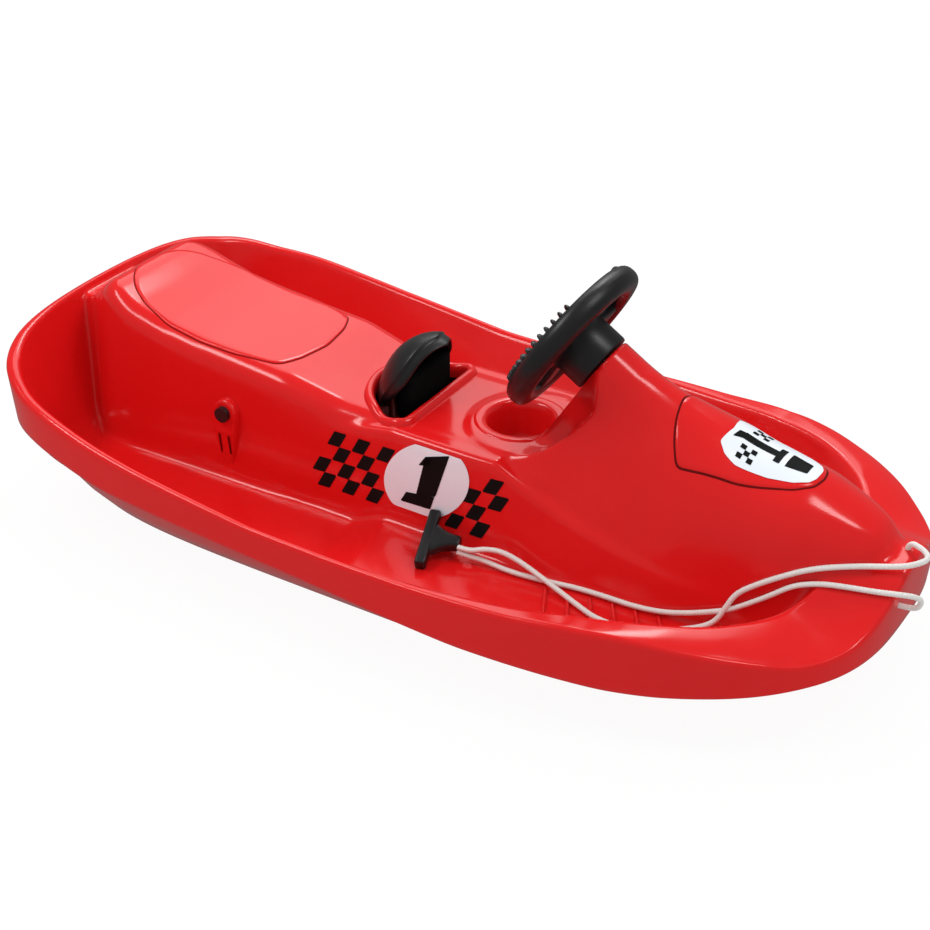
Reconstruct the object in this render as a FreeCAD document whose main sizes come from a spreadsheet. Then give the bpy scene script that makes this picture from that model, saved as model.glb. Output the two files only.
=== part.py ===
import FreeCAD, Part
import Sketcher
import math
import os

# Steering sled: a moulded tub with a seat pod, a steering wheel that turns a ski under the nose,
# a pull-up claw brake and a tow rope. Millimetres, X forward, Y to the left, Z up.
# The origin lies on the ground under the middle of the tub.

V = FreeCAD.Vector
doc = FreeCAD.newDocument("steering_sled")
sheet = doc.addObject("Spreadsheet::Sheet", "sizes")

SIZES = [
    ("half_length", 525), ("half_width", 268), ("wall", 4),
    ("tail_roundness", 4.4), ("bow_roundness", 2.9), ("tub_bow_roundness", 2.25),
    ("tail_rim_height", 196), ("mid_rim_height", 122), ("bow_rim_height", 95),
    ("tail_skirt_height", 112), ("mid_skirt_height", 60), ("bow_skirt_height", 72),
    ("skirt_flare", 7), ("rim_width", 8), ("tub_inset", 62), ("tub_bow_end", 428),
    ("floor_height", 45), ("well_height", 60), ("step_x", -109), ("step_length", 52), ("step_sweep", 48),
    ("crown_height", 158), ("crown_half_width", 175),
    ("cup_x", 67), ("cup_radius", 34), ("cup_depth", 42), ("saddle_height", 168),
    ("pocket_x", -66), ("pocket_half_width", 70), ("pocket_half_length", 47), ("lip_height", 9),
    ("lip_width", 6),
    ("wheel_x", 128), ("wheel_z", 288), ("wheel_tilt", 32), ("ring_radius", 79), ("ring_section", 12),
    ("neck_radius", 32), ("neck_length", 43), ("face_gap", 2),
    ("column_radius", 7), ("column_length", 150), ("turning_gap", 0.4),
    ("crank_length", 40), ("ball_radius", 5), ("ball_reach", 14), ("crank_thickness", 12),
    ("kingpin_radius", 6), ("kingpin_top", 184), ("bridge_top", 136), ("bridge_thickness", 8),
    ("fork_gap", 0.5), ("fork_height", 22), ("ski_width", 44), ("ski_length", 190), ("ski_thickness", 7),
    ("axle_x", -259), ("axle_z", 130), ("axle_radius", 5), ("axle_half_length", 110), ("lever_width", 30),
    ("handle_half_width", 64), ("handle_height", 76),
    ("rope_diameter", 6), ("hole_x", 508), ("side_hole_y", -36), ("side_hole_z", 115),
]
for row, (name, value) in enumerate(SIZES, 1):
    sheet.set("A%d" % row, name)
    sheet.set("B%d" % row, str(value))
    sheet.setAlias("B%d" % row, name)
doc.recompute()


def size(name):
    """The value of one named size in the sheet."""
    return float(sheet.get(name))


def place(x=0.0, y=0.0, z=0.0, axis=V(0, 0, 1), angle=0.0):
    """A placement at a point, turned about an axis."""
    return FreeCAD.Placement(V(x, y, z), FreeCAD.Rotation(axis, angle))


def solid(kind, name, at, **formulas):
    """A primitive whose sizes follow the sheet."""
    made = doc.addObject("Part::" + kind, name)
    for prop, formula in formulas.items():
        made.setExpression(prop, formula)
    made.Placement = at
    return made


def fuse(name, pieces):
    """One solid from several."""
    made = doc.addObject("Part::MultiFuse", name)
    made.Shapes = pieces
    return made


def cut(name, base, tool):
    """A solid with another one taken away."""
    made = doc.addObject("Part::Cut", name)
    made.Base = base
    made.Tool = tool
    return made


def group(name, pieces):
    """Separate solids that share one node."""
    made = doc.addObject("Part::Compound", name)
    made.Links = pieces
    return made


NODES = []


def node(made, label, at=None):
    """Names a finished sub-part and sets where it sits."""
    made.Label = label
    if at is not None:
        made.Placement = at
    NODES.append(made)
    return made


# Outlines in plan: rounded boxes of two halves, blunt at the tail and rounder at the bow.


def outline(inset, z, bow=None, tail_extra=0.0):
    """A closed plan outline at one height, set inwards from the rim crest."""
    points = []
    width = size("half_width") - inset
    count = 24
    for step in range(count):
        angle = 2.0 * math.pi * step / count
        c = math.cos(angle)
        s = math.sin(angle)
        if c >= 0:
            power = 2.0 / (size("bow_roundness") if bow is None else size("tub_bow_roundness"))
            reach = (size("half_length") - inset) if bow is None else bow
        else:
            power = 2.0 / size("tail_roundness")
            reach = size("half_length") - inset - tail_extra
        x = math.copysign(abs(c) ** power, c) * reach
        y = math.copysign(abs(s) ** power, s) * width
        points.append(V(x, y, z))
    curve = Part.BSplineCurve()
    curve.interpolate(points, PeriodicFlag=True)
    return Part.Wire([curve.toShape()])


def tower(levels):
    """A solid through plan outlines at rising heights."""
    return Part.makeLoft(levels, True, True)


def side_region(points, bottom):
    """A broad slab below a side-view curve."""
    curve = Part.BSplineCurve()
    curve.interpolate([V(x, 0, z) for x, z in points])
    first = V(points[0][0], 0, bottom)
    last = V(points[-1][0], 0, bottom)
    ends = [V(points[-1][0], 0, points[-1][1]), V(points[0][0], 0, points[0][1])]
    edges = [curve.toShape(), Part.makeLine(ends[0], last), Part.makeLine(last, first),
             Part.makeLine(first, ends[1])]
    face = Part.Face(Part.Wire(edges))
    face.translate(V(0, -400, 0))
    return face.extrude(V(0, 800, 0))


def sheer(drop):
    """The slab below the rim line, lowered by a wall thickness for the underside."""
    high = size("tail_rim_height")
    mid = size("mid_rim_height")
    low = size("bow_rim_height")
    half = size("half_length")
    line = [(-1.1 * half, high + 3), (-half, high), (-0.78 * half, mid + 0.56 * (high - mid)),
            (-0.5 * half, mid + 0.24 * (high - mid)), (0, mid), (0.55 * half, low + 0.62 * (mid - low)),
            (0.9 * half, low), (1.1 * half, low + 4)]
    return side_region([(x, z - drop) for x, z in line], -60)


def skirt_bottom():
    """The slab below the lower edge of the skirt."""
    half = size("half_length")
    line = [(-1.1 * half, size("tail_skirt_height")), (0.15 * half, size("mid_skirt_height")),
            (1.1 * half, size("bow_skirt_height"))]
    return side_region(line, -60)


# Cross-sections of the pod, the cowl and the nose: upright trapezoids with rounded shoulders.


def corner(before, at, after, radius):
    """The two ends and the middle of a fillet at a corner."""
    u = (before - at).normalize()
    v = (after - at).normalize()
    half = u.getAngle(v) / 2.0
    reach = radius / math.tan(half)
    middle = (u + v).normalize()
    return at + u * reach, at + middle * (radius / math.sin(half) - radius), at + v * reach


def section(x, foot, shoulder, height, radius, low=0.0):
    """One closed cross-section at a station along the sled."""
    a = V(x, -foot, low)
    b = V(x, -shoulder, height)
    c = V(x, shoulder, height)
    d = V(x, foot, low)
    b1, b2, b3 = corner(a, b, c, radius)
    c1, c2, c3 = corner(b, c, d, radius)
    return Part.Wire([
        Part.makeLine(a, b1), Part.Arc(b1, b2, b3).toShape(), Part.makeLine(b3, c1),
        Part.Arc(c1, c2, c3).toShape(), Part.makeLine(c3, d), Part.makeLine(d, a)])


# Station, half width at the ground, half width at the shoulder, height, shoulder radius.
POD = [(-508, 102, 66, 198, 24), (-470, 106, 82, 228, 26), (-431, 107, 88, 242, 26), (-188, 105, 88, 190, 26),
       (-120, 104, 86, 172, 26), (-40, 103, 82, 166, 22), (132, 102, 82, 168, 22)]
COWL = [(40, 104, 66, 328, 34), (182, 104, 64, 286, 34), (300, 108, 64, 247, 34), (414, 98, 50, 208, 30),
        (462, 82, 38, 188, 24), (496, 60, 24, 168, 14)]


def stations(table, step):
    """Evenly spaced cross-section sizes between the given ones."""
    count = round((table[-1][0] - table[0][0]) / step)
    rows = []
    for index in range(count + 1):
        x = table[0][0] + (table[-1][0] - table[0][0]) * index / count
        low = max(k for k in range(len(table) - 1) if table[k][0] <= x)
        share = (x - table[low][0]) / (table[low + 1][0] - table[low][0])
        rows.append([p + (q - p) * share for p, q in zip(table[low], table[low + 1])])
    return rows


def ridge(table, skin, start=0.0, end=0.0):
    """The solid through a row of cross-sections, taken in by a skin thickness."""
    wires = []
    rows = stations(table, 56.0)
    rows[0][0] += start
    rows[-1][0] -= end
    for x, foot, shoulder, height, radius in rows:
        wires.append(section(x, foot - 1.1 * skin, shoulder - 0.8 * skin, height - skin,
                             radius - 0.7 * skin, -skin))
    return Part.makeLoft(wires, True, False)


def extruded(points, direction):
    """A straight solid from a closed row of points."""
    return Part.Face(Part.makePolygon(points + [points[0]])).extrude(direction)


def floor_slab(drop):
    """All below the tub's floor, which steps up from the rear channels to the foot wells."""
    foot = size("step_x")
    head = foot + size("step_length")
    low = size("floor_height") - drop
    high = size("well_height") - drop
    row = [(-600, low), (foot, low), (head, high), (600, high), (600, -30), (-600, -30)]
    points = [V(x, 0, z) for x, z in row]
    sweep = size("step_sweep")
    return extruded(points, V(sweep, 260, 0)).fuse(extruded(points, V(sweep, -260, 0)))


def crown(skin):
    """The slab below the raised middle of the bow deck, a bell-shaped ridge up to the tip."""
    top = size("crown_height") - skin
    half = size("crown_half_width")
    low = size("bow_rim_height") - 10 - skin
    start = size("tub_bow_end") - 130
    rise = top - low
    row = [(-1.0, 0.0), (-0.62, 0.22), (-0.3, 0.68), (0.0, 1.0), (0.3, 0.68), (0.62, 0.22), (1.0, 0.0)]
    points = [V(start, y * half, low + z * rise) for y, z in row]
    curve = Part.BSplineCurve()
    curve.interpolate(points)
    foot = V(0, 0, -60)
    sides = [points[-1], points[-1] + foot, points[0] + foot, points[0]]
    lines = [Part.makeLine(sides[k], sides[k + 1]) for k in range(3)]
    face = Part.Face(Part.Wire([curve.toShape()] + lines))
    return face.extrude(V(size("half_length") - start + 20, 0, 0))


# Frames of the moving bodies.
tilt = size("wheel_tilt")
WHEEL = place(size("wheel_x"), 0, size("wheel_z"), V(0, 1, 0), tilt - 90.0)
lean = math.radians(tilt)
UP_BACK = V(-math.cos(lean), 0, math.sin(lean))
face_depth = size("neck_length") + size("face_gap")
ball_depth = size("column_length") + size("ball_reach")
ball_at = WHEEL.multVec(V(-size("crank_length"), 0, -ball_depth))
kingpin_x = ball_at.x + size("crank_length")


def hatch_prism(inset, low):
    """The upright prism of the hatch opening in the nose."""
    rear = 270 + inset
    tip = 418 - inset
    points = [V(rear, 0, low), V(rear + 5, 46 - inset, low), V(rear + 17, 64 - inset, low),
              V(338, 60 - inset, low), V(384, 44 - inset, low), V(tip - 9, 20 - inset * 0.7, low),
              V(tip, 0, low)]
    mirror = [V(p.x, -p.y, p.z) for p in reversed(points[1:-1])]
    return extruded(points + mirror, V(0, 0, 400))


def axle_boss(side):
    """The raised bearing of the brake axle on one wall of the pod."""
    reach = size("axle_half_length") - 4
    inner = 72
    pin = V(size("axle_x"), side * inner, size("axle_z"))
    head = Part.makeCylinder(15, reach - inner, pin, V(0, side, 0))
    stem = Part.makeBox(24, reach - inner - 2, size("axle_z") - 40)
    stem.translate(V(size("axle_x") - 12, inner if side > 0 else 2 - reach, 40))
    return head.fuse(stem)


def pocket_prism(inset):
    """The upright D-shaped prism of the brake handle's pocket."""
    half = size("pocket_half_width") - inset
    rear = size("pocket_x") - size("pocket_half_length") + inset
    front = size("pocket_x") + size("pocket_half_length") - inset
    near = V(front, -half, 100)
    far = V(front, half, 100)
    wire = Part.Wire([Part.Arc(near, V(rear, 0, 100), far).toShape(), Part.makeLine(far, near)])
    return Part.Face(wire).extrude(V(0, 0, 200))


def cowl_solid(skin):
    """The cowl and nose, cut off square to the column where the wheel's neck enters."""
    body = ridge(COWL, skin, 0.0, skin)
    rear = Part.makeBox(600, 400, 400)
    rear.Placement = FreeCAD.Placement(WHEEL.multVec(V(-400, -200, -face_depth - skin)), WHEEL.Rotation)
    return body.cut(rear)


def axis_cylinder(radius, top, bottom):
    """A cylinder on the steering column's line, between two distances below the wheel."""
    return Part.makeCylinder(radius, bottom - top, WHEEL.multVec(V(0, 0, -bottom)), UP_BACK)


def ledge(side):
    """The moulded ledge inside the cowl that carries the steering bridge."""
    near = 50
    shape = Part.makeBox(130, 60, 12)
    shape.translate(V(kingpin_x - 98, near if side > 0 else -near - 60, size("bridge_top")))
    return shape


def foot_ribs(side):
    """The low grip ribs on the floor of one foot well."""
    ribs = []
    for index in range(6):
        rib = Part.makeBox(4, 44, 3.5)
        rib.translate(V(-2, 0, size("well_height") - 0.5))
        rib.rotate(V(0, 0, 0), V(0, 0, 1), 26 + 2 * index)
        rib.translate(V(193 + 25 * index, -165 + 5 * index, 0))
        if side > 0:
            rib = rib.mirror(V(0, 0, 0), V(0, 1, 0))
        ribs.append(rib)
    return ribs


def build_hull(pod, cowl, cowl_under):
    """The moulded shell: tub, skirt, pod, cowl and nose in one wall thickness."""
    wall = size("wall")
    inset = size("tub_inset")
    rim = size("rim_width")
    flare = size("skirt_flare")
    bow = size("tub_bow_end")
    deck = sheer(0.0).fuse(crown(0.0))
    deck_under = sheer(wall).fuse(crown(wall))
    outer = tower([outline(-flare, 40), outline(flare, 230)])
    outer_under = tower([outline(wall - flare, -20), outline(wall + flare, 230)])
    tub = tower([outline(inset + 34, 0, bow - 66), outline(inset, 30, bow - 30),
                 outline(inset - 22, 62, bow - 8), outline(rim, 230, bow + 34)])
    belly = tower([outline(inset + 34, wall, bow - 66), outline(inset + wall, 30, bow - 30 - wall),
                   outline(inset - 20 + wall, 66, bow - 9 - wall)])
    room = tower([outline(inset - 6 + wall, 38, bow - 26 - wall, 2),
                  outline(inset - 22 + wall, 66, bow - 8 - wall, 2),
                  outline(rim + wall, 230, bow + 34 - wall, 2)])
    pod_under = ridge(POD, wall, 14)
    lip = pocket_prism(-size("lip_width")).common(ridge(POD, -size("lip_height")))
    shell = outer.cut(skirt_bottom()).fuse(tub).common(deck).cut(room.cut(floor_slab(0.0)))
    ribs = foot_ribs(1) + foot_ribs(-1)
    shell = shell.fuse([pod, cowl, lip, axle_boss(1), axle_boss(-1)] + ribs)
    shell = shell.cut(outer_under.common(deck_under).cut(tub))
    shell = shell.cut(pod_under.fuse([cowl_under, belly.common(floor_slab(wall))]))
    cup_foot = V(size("cup_x"), 0, size("saddle_height") - size("cup_depth"))
    cup_wall = Part.makeCylinder(size("cup_radius") + wall, size("cup_depth") + wall - 2,
                                 cup_foot - V(0, 0, wall))
    ledges = [ledge(1).common(cowl), ledge(-1).common(cowl)]
    shell = shell.fuse([cup_wall] + ledges)
    pin_hole = size("axle_radius") + size("turning_gap")
    tow_hole = size("rope_diameter") / 2.0 + 2
    holes = [
        pocket_prism(0.0), hatch_prism(0.0, 150),
        Part.makeCylinder(size("cup_radius"), 80, cup_foot),
        Part.makeCylinder(pin_hole, 400, V(size("axle_x"), -200, size("axle_z")), V(0, 1, 0)),
        axis_cylinder(size("column_radius") * 2, face_depth - 8, face_depth + 12),
        Part.makeCylinder(tow_hole, 60, V(size("hole_x"), 0, 120)),
        Part.makeCylinder(tow_hole, 60, V(500, size("side_hole_y"), size("side_hole_z")), V(1, 0, 0)),
    ]
    for side in (-1, 1):
        for x in SCREW_X:
            holes.append(Part.makeCylinder(SCREW_RADIUS, 9, V(x, side * SCREW_Y, size("bridge_top"))))
    shell = shell.cut(holes)
    return max(shell.Solids, key=lambda part: part.Volume)


def build_hatch(cowl, cowl_under):
    """The loose cover in the nose, a piece of the same skin with four lugs under its edge."""
    plate = cowl.cut(cowl_under).common(hatch_prism(0.8, 150))
    skin = cowl_under.cut(cowl_solid(size("wall") + 3))
    lugs = []
    for x, y in ((300, 60), (300, -60), (374, 44), (374, -44)):
        lugs.append(skin.common(Part.makeBox(16, 16, 200, V(x - 8, y - 8, 150))))
    return plate.fuse(lugs)


SCREW_RADIUS = 2.5
SCREW_Y = 60
SCREW_X = (kingpin_x - 84, kingpin_x + 18)

cowl = cowl_solid(0.0)
cowl_under = cowl_solid(size("wall"))
hull = doc.addObject("Part::Feature", "hull")
hull.Shape = build_hull(ridge(POD, 0.0), cowl, cowl_under)
node(hull, "hull_shell")

hatch = doc.addObject("Part::Feature", "hatch")
hatch.Shape = build_hatch(cowl, cowl_under)
node(hatch, "nose_hatch")

# Steering wheel and column, built along their own line and then leaned back. Local X points up the wheel.
ring = solid("Torus", "ring", place(), Radius1="sizes.ring_radius", Radius2="sizes.ring_section")
neck = solid("Cylinder", "neck", place(z=-size("neck_length")), Radius="sizes.neck_radius",
             Height="sizes.neck_length + 2")
wheel_pieces = [ring, neck]
for number, angle in enumerate((90, 180, 270)):
    turn = FreeCAD.Rotation(V(0, 0, 1), angle)
    spoke = solid("Box", "spoke%d" % number, FreeCAD.Placement(turn.multVec(V(20, -13, -10)), turn),
                  Length="sizes.ring_radius - 20", Width="26", Height="10")
    wheel_pieces.append(spoke)
wheel_blank = fuse("wheel_blank", wheel_pieces)
socket = solid("Cylinder", "socket", place(z=-size("neck_length") - 1), Radius="sizes.column_radius",
               Height="sizes.neck_length + 1 - 8")
bolt_way = solid("Cylinder", "bolt_way", place(z=-30), Radius="3", Height="40")
node(cut("wheel", wheel_blank, fuse("wheel_bore", [socket, bolt_way])), "steering_wheel", WHEEL)

bolt_head = solid("Cylinder", "bolt_head", place(z=2), Radius="6", Height="5")
bolt_shank = solid("Cylinder", "bolt_shank", place(z=-28), Radius="3", Height="30")
node(fuse("bolt", [bolt_head, bolt_shank]), "wheel_bolt", WHEEL)
cap_blank = solid("Cylinder", "cap_blank", place(z=2), Radius="25", Height="9")
cap_room = solid("Cylinder", "cap_room", place(z=1), Radius="21", Height="7.5")
node(cut("cap", cap_blank, cap_room), "wheel_cap", WHEEL)

column_blank = solid("Cylinder", "column_blank", place(z=-size("column_length")),
                     Radius="sizes.column_radius",
                     Height="sizes.column_length - 8")
bolt_thread = solid("Cylinder", "bolt_thread", place(z=-28), Radius="3", Height="40")
crank_z = -size("column_length")
pin_z = crank_z + size("crank_thickness") / 2.0
across = FreeCAD.Rotation(V(1, 0, 0), -90)
pin_way = solid("Cylinder", "pin_way", FreeCAD.Placement(V(0, -13, pin_z), across), Radius="1.5", Height="26")
node(cut("column", column_blank, fuse("column_holes", [bolt_thread, pin_way])), "steering_column", WHEEL)
crank_boss = solid("Cylinder", "crank_boss", place(z=crank_z), Radius="13", Height="sizes.crank_thickness")
crank_bar = solid("Box", "crank_bar", place(-size("crank_length") - 9, -10, crank_z),
                  Length="sizes.crank_length + 9", Width="20", Height="sizes.crank_thickness")
crank_way = solid("Cylinder", "crank_way", place(z=crank_z - 1), Radius="sizes.column_radius",
                  Height="sizes.crank_thickness + 2")
stud_way = solid("Cylinder", "stud_way", place(-size("crank_length"), 0, crank_z - 1), Radius="2.5",
                 Height="sizes.crank_thickness + 2")
crank_pin_way = solid("Cylinder", "crank_pin_way", FreeCAD.Placement(V(0, -13, pin_z), across), Radius="1.5",
                      Height="26")
crank_holes = fuse("crank_holes", [crank_way, stud_way, crank_pin_way])
node(cut("crank", fuse("crank_blank", [crank_boss, crank_bar]), crank_holes), "crank_arm", WHEEL)
node(solid("Cylinder", "crank_pin", WHEEL.multiply(FreeCAD.Placement(V(0, -13, pin_z), across)), Radius="1.5",
           Height="26"), "crank_pin")
ball = solid("Sphere", "ball", place(-size("crank_length"), 0, -ball_depth), Radius="sizes.ball_radius")
stud = solid("Cylinder", "stud", place(-size("crank_length"), 0, -ball_depth), Radius="2.5",
             Height="sizes.ball_reach + sizes.crank_thickness")
stud_nut = solid("Cylinder", "stud_nut", place(-size("crank_length"), 0, crank_z + size("crank_thickness")),
                 Radius="5.5", Height="4")
node(fuse("ball_stud", [ball, stud, stud_nut]), "ball_stud", WHEEL)

# Bearings of the column and the bridge under the cowl.
bush_tube = solid("Cylinder", "bush_tube", place(z=-face_depth - 10), Radius="sizes.column_radius * 2",
                  Height="10")
bush_flange = solid("Cylinder", "bush_flange", place(z=-face_depth - size("wall") - 3), Radius="20",
                    Height="3")
bush_bore = solid("Cylinder", "bush_bore", place(z=-face_depth - 20),
                  Radius="sizes.column_radius + sizes.turning_gap",
                  Height="40")
node(cut("upper_bush", fuse("bush_blank", [bush_tube, bush_flange]), bush_bore), "column_bush", WHEEL)

bridge_z = size("bridge_top") - size("bridge_thickness")
block_x = size("wheel_x") + 92 * math.cos(lean)
block_top = size("wheel_z") - 92 * math.sin(lean) + 20
block_blank = solid("Box", "block_blank", place(block_x - 10, -22, size("bridge_top")), Length="20",
                    Width="44",
                    Height="%.3f - sizes.bridge_top" % block_top)
block_holes = [solid("Cylinder", "block_bore", WHEEL.multiply(place(z=-150)),
                     Radius="sizes.column_radius + sizes.turning_gap", Height="120")]
bridge_plate = solid("Box", "bridge_plate", place(kingpin_x - 98, -68, bridge_z), Length="130", Width="136",
                     Height="sizes.bridge_thickness")
bridge_sleeve = solid("Cylinder", "bridge_sleeve", place(kingpin_x, 0, bridge_z - 44), Radius="18",
                      Height="46")
bridge_holes = [solid("Cylinder", "bush_way", place(kingpin_x, 0, 60), Radius="sizes.kingpin_radius + 5",
                      Height="100")]


def screw(name, x, y, length):
    """A pan-head screw driven upwards into the bridge, with its shank as long as asked."""
    head = solid("Cylinder", name + "_head", place(x, y, bridge_z - 3.5), Radius="5", Height="3.5")
    shank = solid("Cylinder", name + "_shank", place(x, y, bridge_z), Radius=str(SCREW_RADIUS),
                  Height=str(length))
    return fuse(name, [head, shank])


bridge_screws = []
for number, (x, y) in enumerate([(x, side * SCREW_Y) for x in SCREW_X for side in (-1, 1)]):
    bridge_screws.append(screw("bridge_screw%d" % number, x, y, size("bridge_thickness") + 8))
    bridge_holes.append(solid("Cylinder", "bridge_way%d" % number, place(x, y, bridge_z - 1),
                              Radius=str(SCREW_RADIUS), Height="sizes.bridge_thickness + 2"))
block_screws = []
for number, y in enumerate((-14, 14)):
    block_screws.append(screw("block_screw%d" % number, block_x, y, size("bridge_thickness") + 14))
    block_holes.append(solid("Cylinder", "block_way%d" % number, place(block_x, y, size("bridge_top") - 1),
                             Radius=str(SCREW_RADIUS), Height="16"))
    bridge_holes.append(solid("Cylinder", "plate_way%d" % number, place(block_x, y, bridge_z - 1),
                              Radius=str(SCREW_RADIUS), Height="sizes.bridge_thickness + 2"))
node(cut("block", block_blank, fuse("block_cuts", block_holes)), "column_bearing")
node(cut("bridge", fuse("bridge_blank", [bridge_plate, bridge_sleeve]), fuse("bridge_cuts", bridge_holes)),
     "steering_bridge")
node(group("bridge_screws", bridge_screws), "bridge_screws")
node(group("block_screws", block_screws), "bearing_screws")

king_tube = solid("Cylinder", "king_tube", place(kingpin_x, 0, bridge_z - 48),
                  Radius="sizes.kingpin_radius + 5",
                  Height="sizes.bridge_thickness + 48")
king_flange = solid("Cylinder", "king_flange", place(kingpin_x, 0, size("bridge_top")), Radius="15",
                    Height="3")
king_bore = solid("Cylinder", "king_bore", place(kingpin_x, 0, 40),
                  Radius="sizes.kingpin_radius + sizes.turning_gap",
                  Height="140")
node(cut("king_bush", fuse("king_blank", [king_tube, king_flange]), king_bore), "kingpin_bush")

# The steering ski with its kingpin and tiller fork.
SKI_BOTTOM = 1.0
ski_top = SKI_BOTTOM + size("ski_thickness")
washer_z = size("bridge_top") + 3 + 0.3
boss_z = washer_z + 1.0
king_blank = solid("Cylinder", "king_pin_blank", place(kingpin_x, 0, ski_top), Radius="sizes.kingpin_radius",
                   Height="sizes.kingpin_top - %.3f" % ski_top)
tiller_z = boss_z + 8
tiller_across = FreeCAD.Placement(V(kingpin_x, -13, tiller_z), across)
king_pin_way = solid("Cylinder", "king_pin_way", tiller_across, Radius="1.5", Height="26")
node(cut("kingpin", king_blank, king_pin_way), "kingpin")
tiller_boss = solid("Cylinder", "tiller_boss", place(kingpin_x, 0, boss_z), Radius="13",
                    Height="sizes.kingpin_top - 4 - %.3f" % boss_z)
half_slot = size("ball_radius") + size("fork_gap")
fork_z = ball_at.z - 0.5 * size("fork_height") + 1
prongs = []
for number, y in enumerate((-half_slot - 6, half_slot)):
    prongs.append(solid("Box", "prong%d" % number, place(kingpin_x - size("crank_length") - 4, y, fork_z),
                        Length="sizes.crank_length + 4", Width="6", Height="sizes.fork_height"))
tiller_way = solid("Cylinder", "tiller_way", place(kingpin_x, 0, 100), Radius="sizes.kingpin_radius",
                   Height="120")
tiller_pin_way = solid("Cylinder", "tiller_pin_way", tiller_across, Radius="1.5", Height="26")
node(cut("tiller", fuse("tiller_blank", [tiller_boss] + prongs),
         fuse("tiller_cuts", [tiller_way, tiller_pin_way])),
     "tiller_fork")
node(solid("Cylinder", "tiller_pin", tiller_across, Radius="1.5", Height="26"), "tiller_pin")
washer_blank = solid("Cylinder", "washer_blank", place(kingpin_x, 0, washer_z), Radius="13", Height="1")
washer_way = solid("Cylinder", "washer_way", place(kingpin_x, 0, washer_z - 1), Radius="sizes.kingpin_radius",
                   Height="3")
node(cut("washer", washer_blank, washer_way), "thrust_washer")

foot_plate = solid("Box", "foot_plate", place(kingpin_x - 38, -18, ski_top), Length="76", Width="36",
                   Height="8")
foot_boss = solid("Cylinder", "foot_boss", place(kingpin_x, 0, ski_top), Radius="14", Height="34")
foot_holes = [solid("Cylinder", "foot_way", place(kingpin_x, 0, ski_top - 1), Radius="sizes.kingpin_radius",
                    Height="60")]
ski_holes = []
rivets = []
for number, x in enumerate((kingpin_x - 27, kingpin_x + 27)):
    foot_holes.append(solid("Cylinder", "foot_rivet_way%d" % number, place(x, 0, 0), Radius="3", Height="40"))
    ski_holes.append(solid("Cylinder", "ski_rivet_way%d" % number, place(x, 0, 0), Radius="3", Height="40"))
    rivet_shank = solid("Cylinder", "rivet_shank%d" % number, place(x, 0, SKI_BOTTOM), Radius="3",
                        Height="sizes.ski_thickness + 8")
    rivet_head = solid("Cylinder", "rivet_head%d" % number, place(x, 0, ski_top + 8), Radius="6", Height="3")
    rivets.append(fuse("rivet%d" % number, [rivet_shank, rivet_head]))
node(cut("ski_foot", fuse("foot_blank", [foot_plate, foot_boss]), fuse("foot_cuts", foot_holes)), "ski_foot")
node(group("ski_rivets", rivets), "ski_rivets")


def profile_body(name, points, width):
    """A flat-sided piece: a side view in the XZ plane, padded to both sides."""
    body = doc.addObject("PartDesign::Body", name)
    sketch = body.newObject("Sketcher::SketchObject", name + "_side")
    upright = [plane for plane in body.Origin.OriginFeatures if plane.Role == "XZ_Plane"][0]
    sketch.AttachmentSupport = [(upright, "")]
    sketch.MapMode = "FlatFace"
    doc.recompute()
    edges = []
    for index, (x, z) in enumerate(points):
        x2, z2 = points[(index + 1) % len(points)]
        edges.append(Part.LineSegment(V(x, z, 0), V(x2, z2, 0)))
    sketch.addGeometry(edges, False)
    for index in range(len(points)):
        sketch.addConstraint(Sketcher.Constraint("Coincident", index, 2, (index + 1) % len(points), 1))
    pad = body.newObject("PartDesign::Pad", name + "_pad")
    pad.Profile = sketch
    pad.setExpression("Length", width)
    pad.SideType = "Symmetric"
    doc.recompute()
    return body


half_ski = size("ski_length") / 2.0
ski_blank = profile_body("ski_blank", [
    (kingpin_x - half_ski, SKI_BOTTOM), (kingpin_x + half_ski - 36, SKI_BOTTOM),
    (kingpin_x + half_ski, SKI_BOTTOM + 17), (kingpin_x + half_ski, SKI_BOTTOM + 23),
    (kingpin_x + half_ski - 39, ski_top), (kingpin_x - half_ski, ski_top)], "sizes.ski_width")
node(cut("ski", ski_blank, fuse("ski_cuts", ski_holes)), "steering_ski")

# The claw brake: a lever on a cross axle in the pod, with its handle in front and its claw behind.
ax = size("axle_x")
az = size("axle_z")
half_axle = size("axle_half_length")
axle_line = FreeCAD.Placement(V(ax, -half_axle, az), across)
axle_blank = solid("Cylinder", "axle_blank", axle_line, Radius="sizes.axle_radius",
                   Height="2 * sizes.axle_half_length")
node(cut("axle", axle_blank, solid("Cylinder", "axle_pin_way", place(ax, 0, az - 20), Radius="2",
                                   Height="40")),
     "brake_axle")
caps = []
for number, side in enumerate((-1, 1)):
    turn = FreeCAD.Rotation(V(1, 0, 0), -90 * side)
    cap_at = V(ax, side * (half_axle - 4 + size("turning_gap")), az)
    blank = solid("Cylinder", "axle_cap_blank%d" % number, FreeCAD.Placement(cap_at, turn), Radius="9",
                  Height="6.6")
    way = solid("Cylinder", "axle_cap_way%d" % number, FreeCAD.Placement(V(ax, 0, az), turn),
                Radius="sizes.axle_radius", Height="sizes.axle_half_length")
    caps.append(cut("axle_cap%d" % number, blank, way))
node(group("axle_caps", caps), "axle_caps")

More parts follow.
